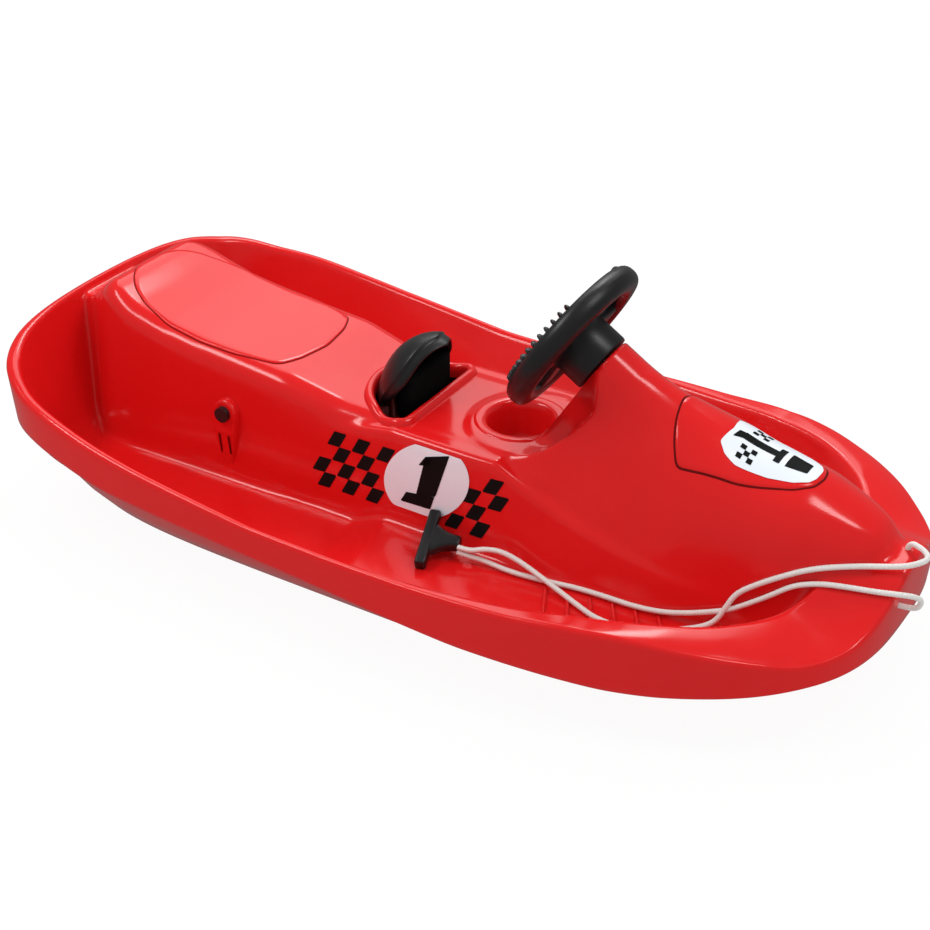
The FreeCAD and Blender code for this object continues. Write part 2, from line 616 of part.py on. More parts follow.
ARM_LOW = 96.0
ARM_HIGH = 112.0
CLAW_X = -360.0
stem_x = size("pocket_x") - 16
stem_z = 150.0
half_lever = size("lever_width") / 2.0
arm = profile_body("lever_arm", [
    (CLAW_X, ARM_LOW), (stem_x + 32, ARM_LOW), (stem_x + 32, stem_z), (stem_x, stem_z), (stem_x, ARM_HIGH),
    (ax + 18, ARM_HIGH), (ax + 14, az), (ax - 14, az), (ax - 18, ARM_HIGH), (CLAW_X, ARM_HIGH)],
    "sizes.lever_width")
lever_hub = solid("Cylinder", "lever_hub", FreeCAD.Placement(V(ax, -half_lever, az), across), Radius="14",
                  Height="sizes.lever_width")
lever_holes = [
    solid("Cylinder", "lever_way", axle_line, Radius="sizes.axle_radius",
          Height="2 * sizes.axle_half_length"),
    solid("Cylinder", "lever_pin_way", place(ax, 0, az - 20), Radius="2", Height="40")]
handle_screws = []
handle_holes = []
for number, y in enumerate((-9, 9)):
    lever_holes.append(solid("Cylinder", "arm_screw_way%d" % number, place(stem_x + 16, y, ARM_LOW - 1),
                             Radius=str(SCREW_RADIUS), Height="100"))
    handle_holes.append(solid("Cylinder", "handle_way%d" % number, place(stem_x + 16, y, 100),
                              Radius=str(SCREW_RADIUS), Height="76"))
    shank = solid("Cylinder", "handle_shank%d" % number, place(stem_x + 16, y, ARM_LOW),
                  Radius=str(SCREW_RADIUS),
                  Height="%.3f" % (stem_z - ARM_LOW + 22))
    head = solid("Cylinder", "handle_head%d" % number, place(stem_x + 16, y, ARM_LOW - 3.5), Radius="5",
                 Height="3.5")
    handle_screws.append(fuse("handle_screw%d" % number, [shank, head]))
forward = FreeCAD.Rotation(V(0, 1, 0), 90)
claw_rivets = []
claw_holes = []
for number, y in enumerate((-9, 9)):
    at = FreeCAD.Placement(V(CLAW_X - 4, y, 0.5 * (ARM_LOW + ARM_HIGH)), forward)
    lever_holes.append(solid("Cylinder", "arm_rivet_way%d" % number, at, Radius=str(SCREW_RADIUS),
                             Height="16"))
    claw_holes.append(solid("Cylinder", "claw_rivet_way%d" % number, at, Radius=str(SCREW_RADIUS),
                            Height="16"))
    shank = solid("Cylinder", "claw_shank%d" % number, at, Radius=str(SCREW_RADIUS), Height="16")
    head_at = FreeCAD.Placement(at.Base - V(2.5, 0, 0), forward)
    head = solid("Cylinder", "claw_head%d" % number, head_at, Radius="5", Height="2.5")
    claw_rivets.append(fuse("claw_rivet%d" % number, [shank, head]))
node(cut("lever", fuse("lever_blank", [arm, lever_hub]), fuse("lever_cuts", lever_holes)), "brake_lever")
node(solid("Cylinder", "lever_pin", place(ax, 0, az - 14), Radius="2", Height="28"), "lever_pin")
node(group("handle_screws", handle_screws), "handle_screws")

CLAW_TIP = 14.0
claw_plate = solid("Box", "claw_plate", place(CLAW_X - 4, -44, CLAW_TIP), Length="4", Width="88",
                   Height="%.3f" % (ARM_HIGH + 4 - CLAW_TIP))
for number in range(3):
    claw_holes.append(solid("Box", "notch%d" % number, place(CLAW_X - 9, -32 + 24 * number, CLAW_TIP - 1),
                            Length="14",
                            Width="16", Height="25"))
node(cut("claw", claw_plate, fuse("claw_cuts", claw_holes)), "brake_claw")
node(group("claw_rivets", claw_rivets), "claw_rivets")
spring_blank = solid("Cylinder", "spring_blank", FreeCAD.Placement(V(ax, half_lever + 2, az), across),
                     Radius="9",
                     Height="30")
spring_way = solid("Cylinder", "spring_way", axle_line, Radius="sizes.axle_radius",
                   Height="2 * sizes.axle_half_length")
node(cut("spring", spring_blank, spring_way), "return_spring")

HANDLE_FRONT = size("pocket_x") + 30
HANDLE_BASE = 160.0
dome = solid("Ellipsoid", "dome", place(HANDLE_FRONT, 0, HANDLE_BASE), Radius1="sizes.handle_height + 5",
             Radius2="68", Radius3="sizes.handle_half_width - 4")
scoop = solid("Ellipsoid", "scoop", place(HANDLE_FRONT + 14, 0, HANDLE_BASE + 8),
              Radius1="sizes.handle_height - 19",
              Radius2="52", Radius3="sizes.handle_half_width - 16")
rear_half = solid("Box", "rear_half", place(HANDLE_FRONT - 90, -100, HANDLE_BASE + 6), Length="90",
                  Width="200",
                  Height="120")
hood = doc.addObject("Part::MultiCommon", "hood")
hood.Shapes = [dome, rear_half]
stem = solid("Box", "stem", place(stem_x, -half_lever, stem_z), Length="32", Width="sizes.lever_width",
             Height="34")
node(cut("handle", fuse("handle_blank", [cut("hood_shell", hood, scoop), stem]),
         fuse("handle_cuts", handle_holes)),
     "brake_handle")

# The tow rope: two strands from the pull, through the foot well and over the bow to their holes.
BAR_LOW = V(42, -161, 67.5)
BAR_HIGH = V(25.5, -108, 88)
BAR_RADIUS = 7.0
STEM_RADIUS = 7.5
stem_foot = (BAR_LOW + BAR_HIGH) * 0.5
stem_end = V(69, -131, 74.7)
stem_line = (stem_end - stem_foot).normalize()
stem_up = V(-stem_line.z, 0, stem_line.x)
rope_radius = size("rope_diameter") / 2.0
hole_top = V(size("hole_x"), 0, size("crown_height") - size("wall") - 1.7)
skirt_x = 515.0
side_hole = V(skirt_x, size("side_hole_y"), size("side_hole_z"))
ROUTE_A = [V(97, -125, 82), V(115, -120, 83), V(138, -118, 77), V(173, -127, 71.5), V(218, -140, 67),
           V(246, -156, 67), V(276, -160, 67), V(304, -150, 68), V(326, -133, 74), V(343, -117, 88),
           V(356, -106, 103), V(368, -97, 111), V(391, -84, 126), V(425, -75, 146), V(457, -62, 155),
           V(486, -47, 158.5), V(509, -36, 161), V(529, -32, 166), V(537, -22, 168), V(528, -11, 169),
           hole_top + V(0, 0, 14)]
ROUTE_B = [V(97, -124, 67), V(125, -116, 64.5), V(160, -116, 64), V(200, -114, 67), V(244, -112, 67.5),
           V(288, -110, 72), V(322, -103, 78), V(340, -98, 89), V(363, -93, 97), V(391, -85, 109),
           V(419, -80.5, 128), V(444, -72, 135), V(472, -64, 139), V(496, -59, 142), V(518, -54, 145),
           V(536, -48, 143), V(541, -38, 131), side_hole + V(21, 0, 0)]


def strand(name, points):
    """A rope tube along straight runs that are joined by tangent arcs."""
    edges = []
    radii = []
    at = points[0]
    for before, bend, after in zip(points, points[1:], points[2:]):
        back = (before - bend).normalize()
        on = (after - bend).normalize()
        half = back.getAngle(on) / 2.0
        reach = 0.45 * min(before.distanceToPoint(bend), after.distanceToPoint(bend))
        radius = reach * math.tan(half)
        middle = bend + (back + on).normalize() * (radius / math.sin(half) - radius)
        edges.append(Part.LineSegment(at, bend + back * reach).toShape())
        edges.append(Part.Arc(bend + back * reach, middle, bend + on * reach).toShape())
        at = bend + on * reach
        radii.append(radius)
    edges.append(Part.LineSegment(at, points[-1]).toShape())
    route = Part.Wire(edges)
    ring = Part.Wire([Part.makeCircle(rope_radius, points[0], points[1] - points[0])])
    tube = route.makePipeShell([ring], True, False)
    print(name, "radii", [round(radius) for radius in radii], "length", round(route.Length),
          "volume ratio", round(tube.Volume / (math.pi * rope_radius ** 2 * route.Length), 3))
    made = doc.addObject("Part::Feature", name)
    made.Shape = tube
    return made


half_pair = rope_radius + 0.3
exits = [stem_end + stem_up * half_pair, stem_end - stem_up * half_pair]
node(strand("rope_a", [exits[0], exits[0] + stem_line * 14] + ROUTE_A + [hole_top]), "rope_strand_a")
node(strand("rope_b", [exits[1], exits[1] + stem_line * 14] + ROUTE_B + [side_hole]), "rope_strand_b")

bar_line = BAR_HIGH - BAR_LOW
pull_pieces = [
    solid("Cylinder", "pull_bar", FreeCAD.Placement(BAR_LOW, FreeCAD.Rotation(V(0, 0, 1), bar_line)),
          Radius=str(BAR_RADIUS), Height="%.4f" % bar_line.Length),
    solid("Sphere", "pull_low", FreeCAD.Placement(BAR_LOW, FreeCAD.Rotation()), Radius=str(BAR_RADIUS)),
    solid("Sphere", "pull_high", FreeCAD.Placement(BAR_HIGH, FreeCAD.Rotation()), Radius=str(BAR_RADIUS)),
    solid("Cylinder", "pull_stem", FreeCAD.Placement(stem_foot, FreeCAD.Rotation(V(0, 0, 1), stem_line)),
          Radius=str(STEM_RADIUS), Height="%.4f" % stem_foot.distanceToPoint(stem_end))]
node(fuse("pull", pull_pieces), "tow_handle")
knots = [solid("Cylinder", "knot_a", FreeCAD.Placement(hole_top - V(0, 0, 10), FreeCAD.Rotation()),
               Radius="7",
               Height="10"),
         solid("Cylinder", "knot_b", FreeCAD.Placement(side_hole - V(10, 0, 0), forward), Radius="7",
               Height="10")]
node(group("knots", knots), "rope_knots")

doc.recompute()
os.makedirs("parts", exist_ok=True)
for made in doc.Objects:
    if "Invalid" in made.State or "Error" in made.State:
        raise RuntimeError("not built: " + made.Name)
for made in NODES:
    shape = made.Shape
    if shape.isNull() or not shape.isValid():
        raise RuntimeError("bad shape: " + made.Label)
    print(made.Label, len(shape.Solids), round(shape.Volume / 1000.0, 2))
    shape.exportStep("parts/" + made.Label + ".step")
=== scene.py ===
# %% [markdown]
# # A steering sled, dressed for the camera
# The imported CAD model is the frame: it gives the bodies that move and the sizes that hold. This script lays
# the finished surfaces over it, piece by piece, and each piece rides on one of the frame's bodies.
# Lengths are metres, X runs forward to the bow, Y to the left and Z up from the ground.

# %% Load the frame
import math
import bpy
import numpy as np
from mathutils import Matrix, Vector


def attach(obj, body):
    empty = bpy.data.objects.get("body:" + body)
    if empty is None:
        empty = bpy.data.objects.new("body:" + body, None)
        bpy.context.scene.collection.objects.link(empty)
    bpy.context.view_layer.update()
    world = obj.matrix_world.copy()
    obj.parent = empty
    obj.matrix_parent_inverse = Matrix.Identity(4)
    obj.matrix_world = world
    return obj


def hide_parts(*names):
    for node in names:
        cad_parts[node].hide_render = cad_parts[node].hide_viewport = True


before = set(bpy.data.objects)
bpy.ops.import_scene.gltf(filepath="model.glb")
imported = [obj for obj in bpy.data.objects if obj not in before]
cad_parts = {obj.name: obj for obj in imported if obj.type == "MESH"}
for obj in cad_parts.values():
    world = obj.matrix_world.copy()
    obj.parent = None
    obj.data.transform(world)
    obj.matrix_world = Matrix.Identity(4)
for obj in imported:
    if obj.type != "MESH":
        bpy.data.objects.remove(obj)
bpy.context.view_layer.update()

# %% [markdown]
# ## The camera
# The photograph was fitted first: a moderately long lens, above the near side of the bow and looking back.
# A camera object looks along its own -Z, so the direction is turned into a rotation.

# %% Place the camera
LENS_MM, SENSOR_MM = 71.61, 36.0
CAMERA_AT = (0.9369, -1.5087, 1.1718)
CAMERA_LOOK = Vector((-0.4517, 0.7247, -0.5203))
lens = bpy.data.cameras.new("photo_lens")
lens.lens = LENS_MM
lens.sensor_width = SENSOR_MM
camera = bpy.data.objects.new("photo_camera", lens)
camera.location = CAMERA_AT
camera.rotation_euler = CAMERA_LOOK.to_track_quat("-Z", "Y").to_euler()
bpy.context.scene.collection.objects.link(camera)
bpy.context.scene.camera = camera
print("camera", [round(v, 3) for v in camera.location])

# %% [markdown]
# ## Shader arithmetic
# A finish is easier to read as a formula than as a web of nodes. A wire stands for one shader socket, and
# adding or multiplying wires adds the Math nodes. Every other node comes from one method of the finish.

# %% Wires and finishes


class Wire:
    """One output socket of a finish, ready for arithmetic."""

    def __init__(self, finish, socket):
        self.finish = finish
        self.socket = socket

    def math(self, operation, first, second):
        return self.finish.node("ShaderNodeMath", {"operation": operation}, {0: first, 1: second})

    def __add__(self, other):
        return self.math("ADD", self, other)

    def __radd__(self, other):
        return self.math("ADD", other, self)

    def __mul__(self, other):
        return self.math("MULTIPLY", self, other)

    def __rmul__(self, other):
        return self.math("MULTIPLY", other, self)


class Finish:
    """A material with one principled shader and the nodes that feed it."""

    def __init__(self, name, **constants):
        self.material = bpy.data.materials.new(name)
        self.material.use_nodes = True
        self.tree = self.material.node_tree
        self.shader = self.tree.nodes["Principled BSDF"]
        for label, value in constants.items():
            self.shader.inputs[label.replace("_", " ")].default_value = value

    def node(self, kind, settings=None, inputs=None, output=0):
        """Adds one node: its settings first, then the values or wires of its sockets."""
        made = self.tree.nodes.new(kind)
        for key, value in (settings or {}).items():
            setattr(made, key, value)
        for key, value in (inputs or {}).items():
            if isinstance(value, Wire):
                self.tree.links.new(value.socket, made.inputs[key])
            else:
                made.inputs[key].default_value = value
        return Wire(self, made.outputs[output])

    def feed(self, label, wire):
        """Leads a wire into one socket of the principled shader."""
        self.tree.links.new(wire.socket, self.shader.inputs[label])

    def grain(self, scale, detail=2.0):
        """Noise that stays fixed to the piece."""
        place = self.node("ShaderNodeTexCoord", output="Object")
        return self.node("ShaderNodeTexNoise", {}, {"Vector": place, "Scale": scale, "Detail": detail})

    def tint(self, factor, dark, light):
        """A colour between two, by a factor. The node's colours are its sockets 6 and 7 and its output 2."""
        return self.node("ShaderNodeMix", {"data_type": "RGBA"}, {0: factor, 6: dark, 7: light}, output=2)

    def clouded(self, dark, light, scale, detail=2.0):
        """A base colour that wavers between two tones."""
        self.feed("Base Color", self.tint(self.grain(scale, detail), rgba(*dark), rgba(*light)))

    def mottled(self, least, spread, scale, detail):
        """A roughness that wavers upwards from its least value."""
        self.feed("Roughness", self.grain(scale, detail) * spread + least)

    def bump(self, scale, distance, strength):
        """Fine relief from a grain of its own."""
        sockets = {"Height": self.grain(scale), "Distance": distance, "Strength": strength}
        self.feed("Normal", self.node("ShaderNodeBump", {}, sockets))


def rgba(r, g, b):
    """A solid colour."""
    return (r, g, b, 1.0)


# %% [markdown]
# ## The plastics, the steel, the rope and the printed film
# The hull is glossy polyethylene: a deep red whose gloss wavers a little from the mould. The wheel and the
# pulls are satin black with a fine grain. The rope is white polypropylene and the decals are thin film. A
# photo texture would carry its own light, so each finish is two close tones and a little noise instead.
# Two dark finishes are painted shade: one for grooves, gaps and slots, and a flat black for the pocket's well
# and the inside and stem of the hood.

# %% Mix the plastics of the hull
red = Finish("red_moulding", Roughness=0.17, Specular_IOR_Level=0.5)
red.clouded((0.70, 0.0075, 0.0085), (0.78, 0.0105, 0.0115), 9.0, 3.0)
red.mottled(0.11, 0.10, 38.0, 4.0)
red.bump(55.0, 0.0003, 0.12)
# The seam finish is painted shade: a dark red laid in grooves, gaps and slots where shade would fall.
seam_shade = Finish("seam_shadow", Roughness=0.6, Specular_IOR_Level=0.08)
seam_shade.clouded((0.10, 0.001, 0.001), (0.16, 0.002, 0.002), 60.0)
black = Finish("black_satin", Roughness=0.34, Specular_IOR_Level=0.55)
black.clouded((0.006, 0.006, 0.007), (0.011, 0.011, 0.012), 26.0, 3.0)
black.mottled(0.28, 0.16, 120.0, 3.0)
black.bump(900.0, 0.0002, 0.25)
# This flat black without gloss is painted shade, for the well of the pocket and the inside and stem of the
# hood.
painted_shade = Finish("painted_shade_black", Roughness=0.9, Specular_IOR_Level=0.05)
painted_shade.clouded((0.002, 0.002, 0.002), (0.005, 0.005, 0.005), 40.0)
print("plastics", len(bpy.data.materials))

# %% Mix the finishes of the small parts
nylon = Finish("natural_nylon", Roughness=0.45)
nylon.clouded((0.62, 0.60, 0.54), (0.70, 0.68, 0.62), 30.0)
steel = Finish("zinc_steel", Metallic=1.0, Roughness=0.3)
steel.clouded((0.48, 0.49, 0.50), (0.62, 0.63, 0.64), 45.0, 4.0)
steel.mottled(0.22, 0.2, 150.0, 3.0)
twine = Finish("white_twine", Roughness=0.72)
twine.clouded((0.66, 0.64, 0.60), (0.88, 0.87, 0.85), 420.0)
twine.bump(1500.0, 0.0002, 0.5)
film = Finish("white_film", Roughness=0.22)
film.clouded((0.80, 0.86, 0.93), (0.86, 0.90, 0.96), 14.0)
ink = Finish("black_film", Roughness=0.45, Specular_IOR_Level=0.08)
ink.clouded((0.004, 0.005, 0.005), (0.008, 0.009, 0.009), 50.0)
print("finishes", len(bpy.data.materials))

# %% [markdown]
# ## The moulding as a rule
# The hull is one soft shell: a tub with a rolled rim, a seat pod along the middle and a cowl that becomes the
# nose. Drawing it by hand would lose the soft fillets, so it is written as a distance rule, below zero in the
# plastic and above zero in the air, and the mesh is where the rule is zero. Runs of sizes along the sled are
# short rows of stations, smoothed.

# %% Sizes along the sled
HALF_LENGTH = 0.525
BOW_LENGTH = 0.520
HALF_WIDTH = 0.268
BOW_ROUND = 2.9
TAIL_ROUND = 4.8
TUB_BOW_ROUND = 2.8


def along(rows, blur):
    """A smooth run of one size along X, from (x, value) stations."""
    grid = np.linspace(-0.7, 0.7, 1401)
    line = np.interp(grid, [r[0] for r in rows], [r[1] for r in rows])
    count = int(blur / 0.001) | 1
    window = np.hanning(count + 2)[1:-1]
    line = np.convolve(np.pad(line, count // 2, mode="edge"), window / window.sum(), "valid")
    return lambda x: np.interp(x, grid, line)


rim_height = along([(-0.577, 0.182), (-0.50, 0.180), (-0.467, 0.171), (-0.437, 0.161), (-0.38, 0.153),
                    (-0.32, 0.142), (-0.26, 0.133), (-0.166, 0.122), (-0.105, 0.115), (0.0, 0.113),
                    (0.09, 0.114), (0.2, 0.118), (0.231, 0.121), (0.265, 0.1245), (0.306, 0.1245),
                    (0.342, 0.122), (0.375, 0.117), (0.398, 0.114), (0.44, 0.106), (0.465, 0.098),
                    (0.52, 0.091), (0.577, 0.091)], 0.05)
skirt_height = along([(-0.577, 0.108), (-0.48, 0.108), (-0.43, 0.107), (-0.38, 0.101), (-0.316, 0.090),
                      (-0.22, 0.084), (-0.138, 0.079), (-0.04, 0.073), (0.05, 0.065), (0.142, 0.058),
                      (0.20, 0.057), (0.302, 0.056), (0.35, 0.059), (0.394, 0.064), (0.435, 0.068),
                      (0.472, 0.072), (0.577, 0.074)], 0.05)
pod_top = along([(-0.60, 0.150), (-0.508, 0.188), (-0.485, 0.203), (-0.468, 0.219), (-0.452, 0.2315),
                 (-0.437, 0.2325), (-0.40, 0.2175), (-0.355, 0.2055), (-0.307, 0.1985), (-0.25, 0.194),
                 (-0.188, 0.1885), (-0.120, 0.172), (-0.040, 0.166), (0.132, 0.167)], 0.03)
pod_half = along([(-0.508, 0.042), (-0.490, 0.054), (-0.470, 0.068), (-0.440, 0.085), (-0.410, 0.093),
                  (-0.188, 0.092), (-0.12, 0.087), (-0.04, 0.080), (0.132, 0.080)], 0.05)
fold_height = along([(-0.5, 0.2), (-0.431, 0.196), (-0.376, 0.184), (-0.304, 0.165), (-0.219, 0.151),
                     (-0.123, 0.148), (-0.03, 0.164), (0.05, 0.172), (0.075, 0.170), (0.114, 0.149),
                     (0.175, 0.123), (0.228, 0.110), (0.30, 0.098), (0.5, 0.09)], 0.04)
fold_half = along([(-0.6, 0.03), (-0.508, 0.046), (-0.490, 0.056), (-0.465, 0.075), (-0.435, 0.087),
                   (-0.40, 0.0905), (0.175, 0.0905), (0.228, 0.093), (0.30, 0.095), (0.38, 0.08),
                   (0.45, 0.06), (0.5, 0.03)], 0.05)
cowl_top = along([(0.04, 0.331), (0.178, 0.281), (0.205, 0.270), (0.262, 0.251), (0.286, 0.243),
                  (0.31, 0.235), (0.345, 0.222), (0.389, 0.213), (0.413, 0.209), (0.462, 0.188),
                  (0.496, 0.168)], 0.04)
cowl_hip = along([(0.08, 0.0935), (0.10, 0.095), (0.17, 0.0965), (0.28, 0.097), (0.33, 0.092),
                  (0.414, 0.0755), (0.462, 0.058), (0.496, 0.0386)], 0.05)
cowl_lean = along([(0.10, 0.353), (0.17, 0.357), (0.22, 0.33), (0.28, 0.29), (0.34, 0.25),
                   (0.496, 0.22)], 0.05)
arch_width = along([(0.17, 0.375), (0.22, 0.305), (0.28, 0.280), (0.32, 0.345), (0.496, 0.345)], 0.04)
arch_power = along([(0.17, 1.31), (0.22, 1.61), (0.28, 2.0)], 0.04)
scoop = along([(0.0, 0.1690), (0.1028, 0.1695), (0.1157, 0.1738), (0.1292, 0.1808), (0.139, 0.1883),
               (0.1481, 0.1974), (0.1565, 0.2081), (0.1649, 0.2186), (0.1815, 0.2422), (0.1917, 0.2614),
               (0.2012, 0.2745), (0.215, 0.292), (0.26, 0.36)], 0.012)
scoop_half = along([(0.10, 0.072), (0.129, 0.065), (0.148, 0.057), (0.165, 0.046), (0.1815, 0.036),
                    (0.2, 0.024)], 0.01)
print("rim", [round(float(rim_height(x)), 3) for x in (-0.5, 0.0, 0.5)])

# %% [markdown]
# Two shapes can be joined with a hollow fillet or meet in a rounded edge. Both are one line of arithmetic on
# their distances, which is why the rule is worth having.

# %% Joining shapes


def joined(a, b, r):
    """Both shapes, with a hollow fillet of radius r between them."""
    return np.maximum(r, np.minimum(a, b)) - np.hypot(np.maximum(r - a, 0), np.maximum(r - b, 0))


def met(a, b, r):
    """Only what both shapes share, with an edge of radius r."""
    return np.minimum(-r, np.maximum(a, b)) + np.hypot(np.maximum(a + r, 0), np.maximum(b + r, 0))


def plan_depth(x, y, bow, tail, width, bow_round=BOW_ROUND):
    """How far a point lies inside a plan outline that is blunt at the tail and rounder at the bow."""
    power = np.where(x > 0, bow_round, TAIL_ROUND)
    length = np.where(x > 0, bow, tail)
    u = np.maximum(np.abs(x) / length, 1e-6)
    v = np.maximum(np.abs(y) / width, 1e-6)
    share = (u ** power + v ** power) ** (1 / power)
    slope = np.hypot((u / share) ** (power - 1) / length, (v / share) ** (power - 1) / width)
    return (1 - share) / slope


DECK_X, DECK_HALF, DECK_FOOT, DECK_RISE = 0.28, 0.175, 0.085, 0.073
STERN_RISE = 0.019


def deck_height(x, y):
    """The rim all round, and the raised middle of the bow deck."""
    bell = np.interp(y / DECK_HALF, [0, 0.15, 0.3, 0.46, 0.62, 0.8, 1.0],
                     [1, 0.92, 0.68, 0.43, 0.22, 0.08, 0])
    crown = DECK_FOOT + DECK_RISE * bell * np.clip((x - DECK_X) / 0.05, 0, 1)
    depth = plan_depth(x, y, BOW_LENGTH, HALF_LENGTH, HALF_WIDTH)
    ahead = np.clip((x - DECK_X) / 0.12, 0, 1)
    near_edge = 1 - np.clip(depth / (0.004 + 0.052 * ahead), 0, 1)
    stern = STERN_RISE * np.clip((-0.46 - x) / 0.05, 0, 1) * np.clip(1 - (y / 0.19) ** 2, 0, 1)
    flat = rim_height(x) + stern + ahead * (0.009 - 0.012 * (1 - np.sqrt(1 - near_edge * near_edge)))
    blend = np.maximum(0.02 - np.abs(crown - flat), 0) / 0.02
    return np.maximum(crown, flat) + blend * blend * 0.005


CHANNEL_Z, RAMP_RISE = 0.045, 0.015


def floor_height(x, y):
    """Low in the rear channels, with a ramp up to the foot wells."""
    ramp = np.clip((x + 0.109 - 0.185 * y) / 0.052, 0, 1)
    return CHANNEL_Z + RAMP_RISE * ramp * ramp * (3 - 2 * ramp)


# %% [markdown]
# Each form of the moulding has a rule of its own. A face that leans is scaled by about the cosine of its
# lean, so that its value stays a distance and the fillets keep their radius.

# %% The rule of each form
FOOT_Z, KNEE_Z, KNEE_RISE = 0.038, 0.066, 0.028
FOOT_INSET, KNEE_STEP = 0.060, 0.016
BRIM, BRIM_LOSS = 0.034, 0.008
TUB_BOW_Z, TUB_BOW_X = [0.038, 0.066, 0.125, 0.23], [0.398, 0.416, 0.445, 0.470]
RIM_EDGE, FLOOR_FILLET = 0.0045, 0.016


def tub_rule(x, y, z):
    """The tub: walls that lean out to the rim, and the floor with its fillet."""
    low = FOOT_INSET - KNEE_STEP * np.clip((z - FOOT_Z) / KNEE_RISE, 0, 1)
    brim = BRIM - BRIM_LOSS * np.clip((x - 0.05) / 0.20, 0, 1)
    inset = low - brim * np.clip((z - KNEE_Z) / (rim_height(x) - KNEE_Z), 0, 1.3)
    bow = np.interp(z, TUB_BOW_Z, TUB_BOW_X)
    wall = plan_depth(x, y, bow, HALF_LENGTH - 0.002 - inset, HALF_WIDTH - inset, TUB_BOW_ROUND)
    rim = met(wall * 0.95, z - deck_height(x, y), RIM_EDGE)
    return joined(rim, z - floor_height(x, y), FLOOR_FILLET)


POD_EDGE, POD_LEAN = 0.021, 0.1
FOLD_EDGE, FOLD_LEAN, FOLD_FILLET = 0.008, 0.12, 0.004


def pod_rule(x, y, z):
    """The seat pod: a rounded saddle above a wider foot that ends at the fold."""
    top = pod_top(x)
    upper = met((y - pod_half(x) - POD_LEAN * (top - z)) * 0.995, (z - top) * 0.97, POD_EDGE)
    upper = upper + 0.04 * np.clip((x - 0.11) / 0.09, 0, 1) ** 2
    fold = fold_height(x)
    leaning = (y - fold_half(x) - FOLD_LEAN * (fold - z)) * 0.993
    lower = met(leaning, z - np.minimum(fold + 0.004, top + np.maximum(x - 0.1, 0)), FOLD_EDGE)
    return joined(upper, lower, FOLD_FILLET)


COWL_BACK, COWL_END, HIP_Z = 0.083, 0.497, 0.1
SCOOP_DEPTH = 0.020


def cowl_rule(x, y, z):
    """The cowl: leaning sides under an arch, with a scoop hollowed out of its back ahead of the cup."""
    rounded = np.hypot(np.minimum(x - COWL_BACK, 0), y)
    side = (rounded - cowl_hip(x) + cowl_lean(x) * (z - HIP_Z)) * 0.95
    share = np.maximum(y, 1e-5) / arch_width(x)
    steep = arch_power(x) * share ** (arch_power(x) - 1) / arch_width(x)
    arch = (z - cowl_top(x) + share ** arch_power(x)) / np.sqrt(1.1 + steep * steep)
    crown = met(side, arch, 0.014)
    across_scoop = np.clip(1 - (y / scoop_half(x)) ** 2, 0, 1)
    hollow = SCOOP_DEPTH * np.clip((x - 0.10) / 0.04, 0, 1) * across_scoop
    cowl = met(crown, (z - scoop(x - hollow)) * 0.66, 0.004)
    return met(cowl, x - COWL_END, 0.02)


WHEEL_AT = (0.128, 0.288)
LEAN = math.radians(32.0)
FACE_DEPTH, COLLAR_RADIUS = 0.045, 0.0325


def collar_rule(x, y, z):
    """The round collar that the column comes out of, about the wheel's axis."""
    back = (z - WHEEL_AT[1]) * math.sin(LEAN) - (x - WHEEL_AT[0]) * math.cos(LEAN) + FACE_DEPTH
    over = (z - WHEEL_AT[1]) * math.cos(LEAN) + (x - WHEEL_AT[0]) * math.sin(LEAN)
    return met(np.hypot(y, np.maximum(over, 0)) - COLLAR_RADIUS, back, 0.002)


POD_FILLET, COWL_FILLET, COLLAR_FILLET = 0.010, 0.008, 0.010


def field(x, y, z):
    """Below zero inside the moulding, above zero in the air."""
    y = np.abs(y)
    seat = joined(tub_rule(x, y, z), pod_rule(x, y, z), POD_FILLET)
    return joined(joined(seat, cowl_rule(x, y, z), COWL_FILLET), collar_rule(x, y, z), COLLAR_FILLET)


print("rule on the seat", round(float(field(-0.3, 0.0, 0.25)), 4))

# %% [markdown]
# The rule only rises with height and with width over the parts that are meshed. Halving an interval until
# the sign changes therefore finds the surface, and works on every point at once.

# %% Finding the surface


def bisect(inside, low, high, shape, count=26):
    """The border between two values where a test stops holding."""
    low = np.full(shape, low)
    high = np.full(shape, high)
    for _ in range(count):
        middle = (low + high) / 2
        held = inside(middle)
        low = np.where(held, middle, low)
        high = np.where(held, high, middle)
    return (low + high) / 2


def surface(x, y):
    """The moulding's height over points in plan."""
    return bisect(lambda z: field(x, y, z) < 0, 0.0, 0.36, np.shape(x))


def flank(x, z):
    """Half the width of the pod and cowl at points in side view."""
    return bisect(lambda y: field(x, y, z) < 0, 0.0, 0.135, np.shape(x))


print("shelf", round(float(surface(np.array([0.03]), np.array([0.0]))[0]), 4))

# %% [markdown]
# ## One way to hand a mesh over
# Each finished piece is a mesh at the origin. It rides on a body, names the slot its finish comes from and,
# where a CAD solid stood for it, hides that solid.

# %% Handing pieces over


def piece(name, verts, faces, finish, body, stands_for=(), sharp=None):
    """A finished piece from points and faces."""
    mesh = bpy.data.meshes.new(name)
    mesh.from_pydata([tuple(v) for v in verts], [], [tuple(f) for f in faces])
    mesh.materials.append(finish.material)
    return adopt(name, mesh, body, stands_for, sharp)


def adopt(name, mesh, body, stands_for=(), sharp=None):
    """A finished piece from a mesh, smooth all over or up to the angle of a sharp edge."""
    mesh.shade_smooth()
    if sharp is not None:
        mesh.set_sharp_from_angle(angle=math.radians(sharp))
    made = bpy.data.objects.new(name, mesh)
    bpy.context.scene.collection.objects.link(made)
    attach(made, body)
    if stands_for:
        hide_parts(*stands_for)
    print(name, len(mesh.vertices), "points")
    return made


